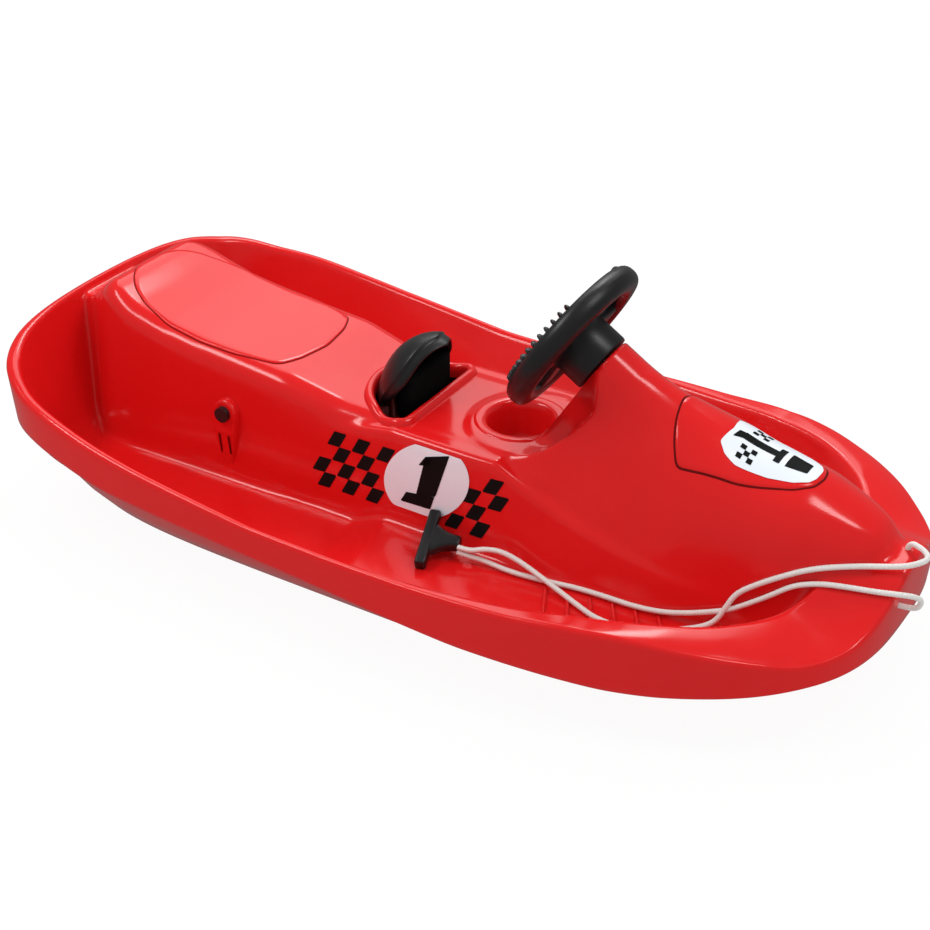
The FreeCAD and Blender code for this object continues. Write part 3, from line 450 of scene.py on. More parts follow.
def lattice(rows, columns, close=False, flip=False):
    """Faces of a grid of points kept row by row, closed round each row if asked."""
    faces = []
    for i in range(rows - 1):
        for j in range(columns if close else columns - 1):
            k = (j + 1) % columns
            quad = (i * columns + j, i * columns + k, (i + 1) * columns + k, (i + 1) * columns + j)
            faces.append(quad[::-1] if flip else quad)
    return faces


# %% [markdown]
# ## The shell seen from above
# The shell is a height over the plan, so columns of points run across the sled. They crowd together at the
# ends, at the cowl and in the steep walls of the pod. The last point of each column lies on the rim, and the
# rolled edge and the skirt go on from there as rings.

# %% Columns along the shell
ROLL = 0.006


def plan_half(x, inset):
    """Half the sled's width at X, a distance in from the crest of the rim."""
    power = np.where(x > 0, BOW_ROUND, TAIL_ROUND)
    length = np.where(x > 0, BOW_LENGTH, HALF_LENGTH) - inset
    share = np.minimum(np.abs(x) / length, 1.0)
    return (HALF_WIDTH - inset) * (1 - share ** power) ** (1 / power)


fine = np.linspace(-1, 1, 20001)
ends = np.where(fine > 0, BOW_LENGTH, HALF_LENGTH) - ROLL
fine = ends * np.sign(fine) * (1 - (1 - np.abs(fine)) ** 2) * (1 - 2e-5)
crowd = 1.0 + 0.7 * np.exp(-((fine - 0.16) / 0.06) ** 2) + 0.3 * np.exp(-((fine + 0.06) / 0.08) ** 2)
step = np.hypot(np.diff(fine) * crowd[1:], 0.45 * np.diff(plan_half(fine, ROLL)))
travel = np.concatenate([[0], np.cumsum(step)])
COLUMNS = 400
column_x = np.interp(np.linspace(0, travel[-1], COLUMNS), travel, fine)
print("columns", COLUMNS, "from", round(float(column_x[0]), 3), "to", round(float(column_x[-1]), 3))

# %% Rows across each column
edge = plan_half(column_x, ROLL)
ROW_BANDS = [(0.0, 0.055, 12), (0.055, 0.115, 40), (0.115, 0.215, 23), (0.215, HALF_WIDTH - ROLL, 23)]
POD_FOOT = 0.13
base = np.concatenate([[0.0]] + [np.linspace(near, far, count)[1:] for near, far, count in ROW_BANDS])
even = base[None, :] * (edge / base[-1])[:, None]
outer = POD_FOOT + (base - POD_FOOT)[None, :] * ((edge - POD_FOOT) / (base[-1] - POD_FOOT))[:, None]
keep = np.where(base[None, :] < POD_FOOT, base[None, :], outer)
mix = np.clip((edge - 0.15) / 0.06, 0, 1)[:, None]
half_rows = even * (1 - mix) + keep * mix
rows_y = np.concatenate([-half_rows[:, :0:-1], half_rows], axis=1)
ROWS = rows_y.shape[1]
grid_x = np.repeat(column_x[:, None], ROWS, axis=1)
grid_z = surface(grid_x, rows_y)
print("shell grid", COLUMNS, "by", ROWS)

# %% [markdown]
# The pocket of the brake pull and the cup are sunk into the height before the mesh is made. Their clean edges
# come later as pieces of their own, which cover the stepped border of the sunk points.

# %% Sink the pocket and the cup
POCKET_X, POCKET_HALF, POCKET_REACH = -0.0745, 0.0735, 0.0385
CUP_X, CUP_RADIUS = 0.068, 0.034
POCKET_SUNK_Z, CUP_SUNK_Z = 0.112, 0.120
pocket_front = POCKET_X + POCKET_REACH
arc_radius = (POCKET_HALF ** 2 + (2 * POCKET_REACH) ** 2) / (4 * POCKET_REACH)
arc_x = pocket_front - 2 * POCKET_REACH + arc_radius
in_pocket = (np.hypot(grid_x - arc_x, rows_y) < arc_radius) & (grid_x < pocket_front)
in_cup = np.hypot(grid_x - CUP_X, rows_y) < CUP_RADIUS + 0.006
grid_z = np.where(in_pocket, POCKET_SUNK_Z, np.where(in_cup, CUP_SUNK_Z, grid_z))
print("sunk", int(in_pocket.sum()), int(in_cup.sum()))

# %% [markdown]
# The rim ring runs down the near side, across the bow, back along the far side and across the tail. Each ring
# of the skirt is that line moved outwards and down.

# %% Rings of the rolled edge and the skirt
index = np.arange(COLUMNS * ROWS).reshape(COLUMNS, ROWS)
ring = np.concatenate([index[:, 0], index[-1, 1:], index[::-1, -1][1:], index[0, ::-1][1:-1]])
points = np.stack([grid_x, rows_y, grid_z], axis=-1).reshape(-1, 3)
rim_line = points[ring]
power = np.where(rim_line[:, 0] > 0, BOW_ROUND, TAIL_ROUND)
reach = np.where(rim_line[:, 0] > 0, BOW_LENGTH, HALF_LENGTH)
rim_x, rim_y = rim_line[:, 0], rim_line[:, 1]
out = np.stack([np.sign(rim_x) * (np.abs(rim_x) / reach) ** (power - 1) / reach,
                np.sign(rim_y) * (np.abs(rim_y) / HALF_WIDTH) ** (power - 1) / HALF_WIDTH], axis=-1)
out /= np.linalg.norm(out, axis=1)[:, None]
low_edge = skirt_height(rim_x)


def flare(z):
    """How far the skirt's outside stands beyond the crest line at a height."""
    return 0.014 * (z - 0.04) / 0.19 - 0.007


rings = []
for degrees in (18, 36, 54, 72, 90):
    turn = math.radians(degrees)
    z = rim_line[:, 2] - ROLL * (1 - math.cos(turn))
    rings.append((ROLL * math.sin(turn) + flare(z) * math.sin(turn), z))
roll_foot = rim_line[:, 2] - ROLL
for share in (0.2, 0.45, 0.7, 0.9, 1.0):
    z = roll_foot + (low_edge + 0.0015 - roll_foot) * share
    rings.append((ROLL + flare(z), z))
SKIRT_HEM = [(0.0015, 0.0), (0.0035, 0.0012), (0.0045, 0.018)]
for inwards, up in SKIRT_HEM:
    rings.append((ROLL + flare(low_edge) - inwards, low_edge + up))
print("skirt rings", len(rings))

# %% Join the shell and its skirt
skirt = [np.column_stack([rim_line[:, :2] + out * np.asarray(move)[:, None], z]) for move, z in rings]
count = len(ring)
faces = lattice(COLUMNS, ROWS, flip=True)
start = len(points)
for j in range(count):
    k = (j + 1) % count
    faces.append((ring[j], start + j, start + k, ring[k]))
    for level in range(len(rings) - 1):
        above = start + level * count
        below = above + count
        faces.append((above + j, below + j, below + k, above + k))
shell_points = np.concatenate([points] + skirt)
piece("hull_moulding", shell_points, faces, red, "hull", ["hull_shell"])

# %% [markdown]
# ## The underside
# From below one sees the lower tier of the tub with its flat runners, and the long slot where the ski and the
# claw work. It is lofted from plan outlines of falling height, with the hollow of the pod closed above.

# %% Loft the underside
around = np.linspace(0, 2 * np.pi, 240, endpoint=False)


def plan_ring(bow, tail, width, z, bow_round=TUB_BOW_ROUND):
    """One outline in plan at a height, blunt at the tail and rounder at the bow."""
    c, s = np.cos(around), np.sin(around)
    power = np.where(c > 0, 2 / bow_round, 2 / TAIL_ROUND)
    x = np.sign(c) * np.abs(c) ** power * np.where(c > 0, bow, tail)
    return np.column_stack([x, np.sign(s) * np.abs(s) ** power * width, np.full(len(around), z)])


TIERS = [(0.46, 0.500, 0.246, 0.084), (0.430, 0.490, 0.233, 0.062), (0.404, 0.474, 0.214, 0.030),
         (0.384, 0.458, 0.194, 0.0035), (0.380, 0.454, 0.190, 0.0), (0.352, 0.420, 0.104, 0.0),
         (0.350, 0.418, 0.102, 0.004), (0.350, 0.418, 0.102, 0.05), (0.34, 0.41, 0.090, 0.10)]
tiers = [plan_ring(0.503, 0.508, 0.252, 0.085, BOW_ROUND)]
tiers += [plan_ring(*tier) for tier in TIERS]
tier_faces = lattice(len(tiers), len(around), close=True, flip=True)
piece("under_tier", np.concatenate(tiers), tier_faces, red, "hull")

# %% [markdown]
# ## Panels and film laid on the moulding
# The seat pad, the hatch and the decals all follow the surface under them. Each is an outline in plan or in
# side view, filled with rings towards its middle and lifted a little off the rule's surface.

# %% Laying patches on the surface


def outline_of(corners, count=96, soft=0.0):
    """Points spaced evenly round a closed outline, its corners softened if asked."""
    ring = np.array(list(corners) + [corners[0]], float)
    length = np.concatenate([[0], np.cumsum(np.hypot(*np.diff(ring, axis=0).T))])
    where = np.linspace(0, length[-1], count, endpoint=False)
    line = np.column_stack([np.interp(where, length, ring[:, k]) for k in (0, 1)])
    reach = int(round(soft / length[-1] * count))
    if reach:
        window = np.hanning(2 * reach + 3)[1:-1]
        wide = np.concatenate([line[-reach:], line, line[:reach]])
        line = np.column_stack([np.convolve(wide[:, k], window / window.sum(), "valid") for k in (0, 1)])
    return line


def on_top(u, v, lift):
    """Plan points laid on the moulding from above."""
    return np.column_stack([u, v, surface(u, v) + lift])


def on_side(side):
    """A way to lay side-view points on one flank."""
    def lay(u, v, lift):
        return np.column_stack([u, side * (flank(u, v) + lift), v])
    return lay


TUCK = 0.0012


def patch(name, corners, lay, lift, finish, rings=8, edge=None, soft=0.0, count=96,
          stands_for=(), grow=0.0, flip=False):
    """A skin over an outline, with its border tucked down to the height of edge if one is given."""
    line = outline_of(corners, count, soft)
    middle = line.mean(axis=0)
    away = line - middle
    line = line + away / np.linalg.norm(away, axis=1)[:, None] * grow
    shares = [k / rings for k in range(1, rings + 1)]
    uv = [middle + (line - middle) * share for share in shares]
    lifts = [np.full(count, lift) for _ in shares]
    if edge is not None:
        tuck = (line - middle) / np.linalg.norm(line - middle, axis=1)[:, None] * TUCK
        uv += [line + tuck * 0.6, line + tuck]
        lifts += [np.full(count, lift * 0.7 + edge * 0.3), np.full(count, edge)]
    flat = np.concatenate([[middle]] + uv)
    height = np.concatenate([[lift]] + lifts)
    verts = lay(flat[:, 0], flat[:, 1], height)
    faces = [(0, 1 + j, 1 + (j + 1) % count) for j in range(count)]
    for level in range(len(uv) - 1):
        inner, outer = 1 + level * count, 1 + (level + 1) * count
        for j in range(count):
            k = (j + 1) % count
            faces.append((inner + j, outer + j, outer + k, inner + k))
    after = np.roll(line, -1, axis=0)
    turned = np.sum(line[:, 0] * after[:, 1] - after[:, 0] * line[:, 1])
    if (turned < 0) != flip:
        faces = [f[::-1] for f in faces]
    return piece(name, verts, faces, finish, "hull", stands_for)


# %% Seat pad and hatch


def both_sides(half):
    """A half outline from one centre point to the other, with its mirror image."""
    return half + [(x, -y) for x, y in half[-2:0:-1]]


PAD_HALF = [(-0.4525, 0.0), (-0.4475, -0.0185), (-0.4420, -0.030), (-0.4324, -0.0436), (-0.4189, -0.0575),
            (-0.3950, -0.0690), (-0.3572, -0.0785), (-0.3093, -0.0800), (-0.261, -0.0785),
            (-0.225, -0.0725), (-0.2075, -0.0680), (-0.1965, -0.043), (-0.190, 0.0)]
PAD = both_sides(PAD_HALF)
GROOVE_LIFT, PANEL_LIFT, PANEL_EDGE, PANEL_SOFT = 0.0004, 0.0018, 0.0001, 0.008
# The groove round the pad is painted shade: a dark patch a little wider than the pad, just under the panel.
patch("seat_groove", PAD, on_top, GROOVE_LIFT, seam_shade, soft=PANEL_SOFT, rings=14, grow=0.0022, count=140)
patch("seat_pad", PAD, on_top, PANEL_LIFT, red, soft=PANEL_SOFT, rings=22, edge=PANEL_EDGE, count=140)
HATCH_HALF = [(0.2608, 0.0), (0.2620, 0.009), (0.2647, 0.0246), (0.2706, 0.0392), (0.2813, 0.0540),
              (0.300, 0.0533), (0.319, 0.0515), (0.342, 0.0470), (0.365, 0.0406), (0.395, 0.0295),
              (0.411, 0.0170), (0.4146, 0.0)]
HATCH = both_sides(HATCH_HALF)
# The gap round the hatch is painted shade in the same way.
patch("hatch_gap", HATCH, on_top, GROOVE_LIFT, seam_shade, soft=PANEL_SOFT, rings=14, grow=0.0030, count=160)
patch("hatch_panel", HATCH, on_top, PANEL_LIFT, red, soft=PANEL_SOFT, rings=24, edge=PANEL_EDGE, count=160,
      stands_for=["nose_hatch"])

# %% [markdown]
# ## The race film
# A roundel with a plain figure one sits on each flank between two fields of leaning checks, and a small
# shield lies on the hatch. On the far side the film is mirrored along the sled so that the figure still
# reads.

# %% Roundels, figures and checks
ROUNDEL_AT, ROUNDEL_LONG, ROUNDEL_TALL = (0.0072, 0.1216), (0.0538, 0.0169), (-0.004, 0.0438)
ROUNDEL_FOOT_Z, ROUNDEL_TOP_Z = 0.081, 0.1605
ROUNDEL = []
for a in np.linspace(0, 2 * np.pi, 64)[:-1]:
    x = ROUNDEL_AT[0] + ROUNDEL_LONG[0] * math.cos(a) + ROUNDEL_TALL[0] * math.sin(a)
    z = ROUNDEL_AT[1] + ROUNDEL_LONG[1] * math.cos(a) + ROUNDEL_TALL[1] * math.sin(a)
    ROUNDEL.append((x, min(max(z, ROUNDEL_FOOT_Z), ROUNDEL_TOP_Z)))
FIGURE = {"stem": [(0.005, 0.150), (0.035, 0.160), (0.0205, 0.107), (-0.004, 0.103)],
          "flag": [(0.005, 0.150), (-0.003, 0.138), (0.0097, 0.140), (0.014, 0.152)],
          "foot": [(-0.017, 0.1016), (0.0195, 0.1067), (0.015, 0.0905), (-0.0237, 0.089)]}
CHECK_ALONG, CHECK_DOWN = np.array([0.0163, 0.0003]), np.array([-0.0092, -0.0178])
CHECKS = [((-0.112, 0.135), [(0, 0), (2, 0), (4, 0), (1, 1), (3, 1), (0, 2), (2, 2), (4, 2), (1, 3), (3, 3),
                             (5, 3)]),
          ((0.0898, 0.140), [(0, 0), (-1, 1), (1, 1), (0, 2), (-1, 3), (1, 3)])]
FILM_CENTRE = 0.008
CHECK_LIFT, ROUNDEL_LIFT, FIGURE_LIFT = 0.0005, 0.0008, 0.0012
SQUARE = [(-0.5, -0.5), (0.5, -0.5), (0.5, 0.5), (-0.5, 0.5)]


def as_seen(corners, side):
    """Side-view corners, mirrored along the sled for the far flank."""
    return [(FILM_CENTRE - side * (x - FILM_CENTRE), z) for x, z in corners]


for label, side in (("near", -1), ("far", 1)):
    lay = on_side(side)
    flip = side > 0
    for number, (first, spots) in enumerate(CHECKS):
        for i, j in spots:
            spot = np.array(first) + CHECK_ALONG * i + CHECK_DOWN * j
            square = as_seen([spot + CHECK_ALONG * a + CHECK_DOWN * b for a, b in SQUARE], side)
            name = "check_%s_%d_%d_%d" % (label, number, i + 2, j)
            patch(name, square, lay, CHECK_LIFT, ink, rings=3, count=24, flip=flip)
    patch("roundel_" + label, as_seen(ROUNDEL, side), lay, ROUNDEL_LIFT, film, rings=12, flip=flip)
    for part, corners in FIGURE.items():
        patch("figure_%s_%s" % (part, label), as_seen(corners, side), lay, FIGURE_LIFT, ink,
              rings=5, count=40, flip=flip)

# %% Shield on the hatch
SHIELD_HALF = [(0.3155, 0.0), (0.3120, -0.0240), (0.3215, -0.0330), (0.3344, -0.0368), (0.3686, -0.0328),
               (0.3929, -0.0256), (0.4065, -0.0174), (0.4108, -0.0089), (0.4112, 0.0)]
SHIELD = both_sides(SHIELD_HALF)
SHIELD_LIFT, PRINT_LIFT = 0.0023, 0.0027
PRINTS = {"stem": ([(0.3275, -0.0058), (0.3655, -0.0052), (0.3655, 0.0052), (0.3275, 0.0058)], 4, 40),
          "flag": ([(0.3195, -0.0102), (0.3285, -0.0058), (0.3285, 0.0050), (0.3215, 0.0030)], 4, 32),
          "foot": ([(0.3645, -0.0130), (0.3715, -0.0130), (0.3715, 0.0130), (0.3645, 0.0130)], 4, 32),
          "block": ([(0.3775, -0.0125), (0.4005, -0.0085), (0.4005, 0.0085), (0.3775, 0.0125)], 5, 40)}
patch("shield", SHIELD, on_top, SHIELD_LIFT, film, soft=0.003, rings=12, count=140)
for part, (corners, rings_in, points_round) in PRINTS.items():
    patch("shield_" + part, corners, on_top, PRINT_LIFT, ink, rings=rings_in,
          count=points_round)
MARK, MARK_X, MARK_Y = 0.0058, 0.334, 0.0150
for side in (-1, 1):
    for i, j in ((0, 0), (2, 0), (1, 1), (0, 2), (2, 2)):
        x = MARK_X + MARK * i
        y = side * (MARK_Y + MARK * j)
        square = [(x + MARK * a, y + MARK * b) for a, b in SQUARE]
        name = "shield_check_%d_%d_%d" % (side + 1, i, j)
        patch(name, square, on_top, PRINT_LIFT, ink, rings=2, count=16)

# %% [markdown]
# ## Lip, well and cup
# The pocket has a raised rolled lip, the cup a soft mouth. Bevelling the stepped mesh would give ragged
# edges, so both are one profile carried round a path.

# %% Carry a profile round the pocket


def carried(path, across, profile):
    """Points and faces of a profile (outward, up) carried round a path, given outward directions."""
    rows = [path + across * outward + np.array([0, 0, up]) for outward, up in profile]
    return np.concatenate(rows), lattice(len(profile), len(path), close=True)


half_angle = math.asin(POCKET_HALF / arc_radius)
sweep_angles = np.linspace(np.pi - half_angle, np.pi + half_angle, 60)
arc = np.column_stack([arc_x + arc_radius * np.cos(sweep_angles), arc_radius * np.sin(sweep_angles)])
front = np.column_stack([np.full(40, pocket_front), np.linspace(-POCKET_HALF, POCKET_HALF, 42)[1:-1]])
d_line = outline_of(np.concatenate([arc, front]), 140, 0.018)
tangent = np.roll(d_line, -1, axis=0) - np.roll(d_line, 1, axis=0)
across = np.column_stack([tangent[:, 1], -tangent[:, 0], np.zeros(len(tangent))])
across /= np.linalg.norm(across, axis=1)[:, None]
base_z = surface(d_line[:, 0] + across[:, 0] * 0.010, d_line[:, 1] + across[:, 1] * 0.010)
LIP = [(0.0095, -0.003), (0.0082, 0.001), (0.0066, 0.0044), (0.0042, 0.0064), (0.0015, 0.0068),
       (-0.0010, 0.0058), (-0.0027, 0.0034), (-0.0034, -0.001), (-0.0036, -0.004), (-0.0036, -0.009)]
lip_points, lip_faces = carried(np.column_stack([d_line, base_z]), across, LIP)
piece("pocket_lip", lip_points, lip_faces, red, "hull")

# %% [markdown]
# Below the lip the pocket opens into the dark hollow of the hull. A black well stands for that dark. Its
# back wall leaves a gap, with a short tunnel behind it, where the lever of the brake swings up.

# %% Well under the pull
WELL_FLOOR, WELL_INSET, WELL_DROP, LEVER_GAP = 0.090, -0.0030, 0.005, 0.021
TUNNEL_X, TUNNEL_FLOOR, TUNNEL_TOP = (-0.108, -0.185), 0.088, 0.1605
wall_line = d_line + across[:, :2] * WELL_INSET
well_top = np.column_stack([wall_line, base_z - WELL_DROP])
well_foot = np.column_stack([wall_line, np.full(len(d_line), WELL_FLOOR)])
wall_count, floor_middle = len(d_line), 2 * len(d_line)
faces = [(floor_middle, wall_count + (j + 1) % wall_count, wall_count + j) for j in range(wall_count)]
for j in range(wall_count):
    after = (j + 1) % wall_count
    widest = max(abs(wall_line[j, 1]), abs(wall_line[after, 1]))
    if wall_line[j, 0] >= POCKET_X or widest >= LEVER_GAP:
        faces.append((j, wall_count + j, wall_count + after, after))
tunnel_corners = [(-1, TUNNEL_FLOOR), (1, TUNNEL_FLOOR), (1, TUNNEL_TOP), (-1, TUNNEL_TOP)]
tunnel = [(x, side * LEVER_GAP, z) for x in TUNNEL_X for side, z in tunnel_corners]
for j in range(4):
    after = (j + 1) % 4
    faces.append(tuple(floor_middle + 1 + corner for corner in (j, j + 4, after + 4, after)))
well = np.concatenate([well_top, well_foot, [[POCKET_X, 0.0, WELL_FLOOR]], tunnel])
piece("pocket_shade", well, faces, painted_shade, "hull")

# %% Mouth of the cup
CUP_COUNT = 72
circle = np.linspace(0, 2 * np.pi, CUP_COUNT, endpoint=False)
ray = np.column_stack([np.cos(circle), np.sin(circle), np.zeros(CUP_COUNT)])
shelf = float(surface(np.array([CUP_X]), np.array([0.045]))[0])
cup_path = np.tile([CUP_X, 0.0, shelf], (CUP_COUNT, 1))
CUP_COLLAR = [(0.0525, -0.0015), (0.0512, 0.0003), (0.0500, 0.0012)]
CUP = [(0.0480, 0.0018), (0.0430, 0.0016), (0.0400, 0.0006), (0.0380, -0.0012), (0.0364, -0.0042),
       (0.0352, -0.0085), (0.0342, -0.020), (0.0330, -0.036), (0.0315, -0.0405), (0.0280, -0.0425),
       (0.0005, -0.0425)]
cup_points, cup_faces = carried(cup_path, ray, CUP_COLLAR + CUP)
for k, (_, lift) in enumerate(CUP_COLLAR):
    collar_ring = cup_points[k * CUP_COUNT:(k + 1) * CUP_COUNT]
    collar_ring[:, 2] = surface(collar_ring[:, 0], collar_ring[:, 1]) + lift
piece("cup_mouth", cup_points, cup_faces, red, "hull")

# %% [markdown]
# ## Foot ribs
# The ribs that grip the heels, the finger nubs of the wheel and the lines inside the hood repeat one small
# shape. An array would only repeat in a row, so Geometry Nodes set them out: each point of a carrier mesh
# holds its own turn, and one rounded bar is copied to every point.

# %% A node tree that sets copies on points


def copies(name, seed_mesh, spots, turns, finish):
    """One plain mesh with a copy of a small mesh at each spot, turned as each spot asks."""
    tree = bpy.data.node_groups.new(name + "_rule", "GeometryNodeTree")
    tree.interface.new_socket("Geometry", in_out="INPUT", socket_type="NodeSocketGeometry")
    tree.interface.new_socket("Copied piece", in_out="INPUT", socket_type="NodeSocketObject")
    tree.interface.new_socket("Size", in_out="INPUT", socket_type="NodeSocketFloat")
    tree.interface.new_socket("Finish", in_out="INPUT", socket_type="NodeSocketMaterial")
    tree.interface.new_socket("Geometry", in_out="OUTPUT", socket_type="NodeSocketGeometry")
    kinds = ["NodeGroupInput", "GeometryNodeObjectInfo", "GeometryNodeInputNamedAttribute",
             "GeometryNodeInstanceOnPoints", "GeometryNodeRealizeInstances", "GeometryNodeSetMaterial",
             "NodeGroupOutput"]
    given, info, turn, setter, real, paint, result = [tree.nodes.new(kind) for kind in kinds]
    turn.data_type = "FLOAT_VECTOR"
    turn.inputs["Name"].default_value = "turn"
    link = tree.links.new
    link(given.outputs["Copied piece"], info.inputs["Object"])
    link(given.outputs["Geometry"], setter.inputs["Points"])
    link(info.outputs["Geometry"], setter.inputs["Instance"])
    link(turn.outputs["Attribute"], setter.inputs["Rotation"])
    link(given.outputs["Size"], setter.inputs["Scale"])
    link(setter.outputs["Instances"], real.inputs["Geometry"])
    link(real.outputs["Geometry"], paint.inputs["Geometry"])
    link(given.outputs["Finish"], paint.inputs["Material"])
    link(paint.outputs["Geometry"], result.inputs["Geometry"])
    carrier_mesh = bpy.data.meshes.new(name + "_spots")
    carrier_mesh.from_pydata([tuple(s) for s in spots], [], [])
    carrier_mesh.attributes.new("turn", "FLOAT_VECTOR", "POINT").data.foreach_set("vector", np.ravel(turns))
    carrier = bpy.data.objects.new(name + "_spots", carrier_mesh)
    seed_object = bpy.data.objects.new(name + "_one", seed_mesh)
    bpy.context.scene.collection.objects.link(carrier)
    bpy.context.scene.collection.objects.link(seed_object)
    rule = carrier.modifiers.new("copies", "NODES")
    rule.node_group = tree
    values = {"Copied piece": seed_object, "Size": 1.0, "Finish": finish.material}
    for socket in tree.interface.items_tree:
        if socket.in_out == "INPUT" and socket.name in values:
            rule[socket.identifier] = values[socket.name]
    bpy.context.view_layer.update()
    made = bpy.data.meshes.new_from_object(carrier.evaluated_get(bpy.context.evaluated_depsgraph_get()))
    bpy.data.objects.remove(carrier)
    bpy.data.objects.remove(seed_object)
    return made


def rounded_bar(name, length, width, height, power=3.0, around_count=20, along_count=16):
    """A bar with soft ends along its own Y, half sunk."""
    rows = []
    for t in np.linspace(-1, 1, along_count):
        rounded = max(1 - abs(t) ** power, 0.0) ** (1 / power)
        end = max(rounded, 0.02)
        a = np.linspace(0, 2 * np.pi, around_count, endpoint=False)
        rows.append(np.column_stack([np.cos(a) * width / 2 * end, np.full(around_count, t * length / 2),
                                     np.sin(a) * height * end]))
    mesh = bpy.data.meshes.new(name)
    verts = [tuple(v) for v in np.concatenate(rows)]
    mesh.from_pydata(verts, [], lattice(along_count, around_count, close=True))
    return mesh


# %% Ribs on the foot wells
RIB_COUNT, RIB_FIRST, RIB_STEP = 6, np.array([0.193, -0.165]), np.array([0.025, 0.005])
RIB_Z, RIB_SHIFT, RIB_TURN, RIB_FAN = 0.0598, 0.022, 26, 2
spots, turns = [], []
for i in range(RIB_COUNT):
    turn = math.radians(RIB_TURN + RIB_FAN * i)
    middle = RIB_FIRST + RIB_STEP * i + RIB_SHIFT * np.array([-math.sin(turn), math.cos(turn)])
    for side in (1, -1):
        spots.append((middle[0], side * middle[1], RIB_Z))
        turns.append((0, 0, side * turn))
ribs = copies("foot_ribs", rounded_bar("foot_rib", 0.046, 0.0050, 0.0042), spots, turns, red)
adopt("foot_ribs", ribs, "hull")

# %% [markdown]
# ## The axle bosses
# A teardrop swelling on each wall of the pod carries the brake axle, with two narrow drain slots below it.
# It is a patch like the film, lifted more at the top, so it grows out of the wall without a seam.

# %% Bosses and slots
AXLE_X, AXLE_Z, BOSS_RADIUS = -0.259, 0.130, 0.0155
BOSS_FOOT_Z, BOSS_FADE, BOSS_LIFT, SLOT_LIFT = 0.062, 0.045, 0.0085, 0.0098
SLOTS_X, SLOT_HALF, SLOT_LOW, SLOT_HIGH = (-0.2655, -0.2525), 0.0012, 0.078, 0.104
DROP = [(AXLE_X + BOSS_RADIUS * math.cos(a), AXLE_Z + BOSS_RADIUS * math.sin(a))
        for a in np.linspace(-0.3, np.pi + 0.3, 24)]
DROP += [(AXLE_X - 0.0105, 0.085), (AXLE_X - 0.006, 0.064), (AXLE_X + 0.006, 0.064),
         (AXLE_X + 0.0105, 0.085)]
for label, side in (("near", -1), ("far", 1)):
    lay = on_side(side)

    def raised(u, v, lift, lay=lay):
        return lay(u, v, lift * np.clip((v - BOSS_FOOT_Z) / BOSS_FADE, 0, 1) + 0.0001)

    patch("axle_boss_" + label, DROP, raised, BOSS_LIFT, red, soft=0.006, rings=12, edge=-0.001,
          flip=side > 0)
    # The drain slots are painted shade: flat dark patches on the boss.
    for number, x in enumerate(SLOTS_X):
        slot = [(x - SLOT_HALF, SLOT_LOW), (x + SLOT_HALF, SLOT_LOW), (x + SLOT_HALF, SLOT_HIGH),
                (x - SLOT_HALF, SLOT_HIGH)]
        name = "boss_slot_%s_%d" % (label, number)
        patch(name, slot, raised, SLOT_LIFT, seam_shade, rings=3, count=32, flip=side > 0)

# %% [markdown]
# ## The steering wheel
# The wheel is one black moulding: a thick soft ring, three spokes, a hub and a round neck that runs down to
# the cowl. It is built in the wheel's own frame, with Z along the column towards the rider, then set in
# place.

# %% Wheel frame and lathe
wheel_place = Matrix.Translation((WHEEL_AT[0], 0, WHEEL_AT[1]))
wheel_frame = wheel_place @ Matrix.Rotation(LEAN - math.radians(90), 4, "Y")


def set_in(points, matrix):
    """Points carried from a local frame into the sled's."""
    turned = np.array(matrix.to_3x3()) @ np.asarray(points, float).T
    return turned.T + np.array(matrix.translation)


def lathe(profile, count=96):
    """A round solid from (radius, height) steps about Z."""
    a = np.linspace(0, 2 * np.pi, count, endpoint=False)
    rows = [np.column_stack([r * np.cos(a), r * np.sin(a), np.full(count, z)]) for r, z in profile]
    return np.concatenate(rows), lattice(len(profile), count, close=True)


def squared(value, power):
    """A cosine or sine pushed outwards, so that a circle turns into a soft square."""
    return np.sign(value) * np.abs(value) ** power


RING_RADIUS, RING_SECTION, RING_POWER = 0.079, 0.0132, 0.86
section = np.linspace(0, 2 * np.pi, 29)
ring_profile = list(zip(RING_RADIUS + RING_SECTION * squared(np.cos(section), RING_POWER),
                        RING_SECTION * squared(np.sin(section), RING_POWER)))
ring_points, ring_faces = lathe(ring_profile, 120)
piece("wheel_ring", set_in(ring_points, wheel_frame), ring_faces, black, "steering",
      ["steering_wheel"])
WHEEL_NECK = [(0.0005, 0.0015), (0.026, 0.0015), (0.031, 0.0005), (0.0335, -0.003), (0.0345, -0.008),
              (0.0345, -0.0400), (0.0338, -0.0425), (0.031, -0.0430), (0.0005, -0.0430)]
neck_points, neck_faces = lathe(WHEEL_NECK, 72)
piece("wheel_neck", set_in(neck_points, wheel_frame), [f[::-1] for f in neck_faces], black, "steering",
      sharp=40)

# %% Spokes
SPOKE_FROM, SPOKE_TO, SPOKE_THICK, SPOKE_DROP = 0.026, 0.074, 0.0055, 0.005


def spoke(angle):
    """A flat arm from the hub to the ring, narrower in the middle."""
    rows = []
    for r in np.linspace(SPOKE_FROM, SPOKE_TO, 10):
        half = 0.013 + 0.004 * abs((r - 0.05) / 0.024) ** 2
        a = np.linspace(0, 2 * np.pi, 24, endpoint=False)
        across_y = squared(np.cos(a), 0.5) * half
        up = squared(np.sin(a), 0.5) * SPOKE_THICK - SPOKE_DROP
        rows.append(np.column_stack([np.full(24, r), across_y, up]))
    turn = Matrix.Rotation(math.radians(angle), 4, "Z")
    return set_in(np.concatenate(rows), wheel_frame @ turn), lattice(10, 24, close=True)


for angle in (90, 180, 270):
    verts, faces = spoke(angle)
    piece("wheel_spoke_%d" % angle, verts, [f[::-1] for f in faces], black, "steering")

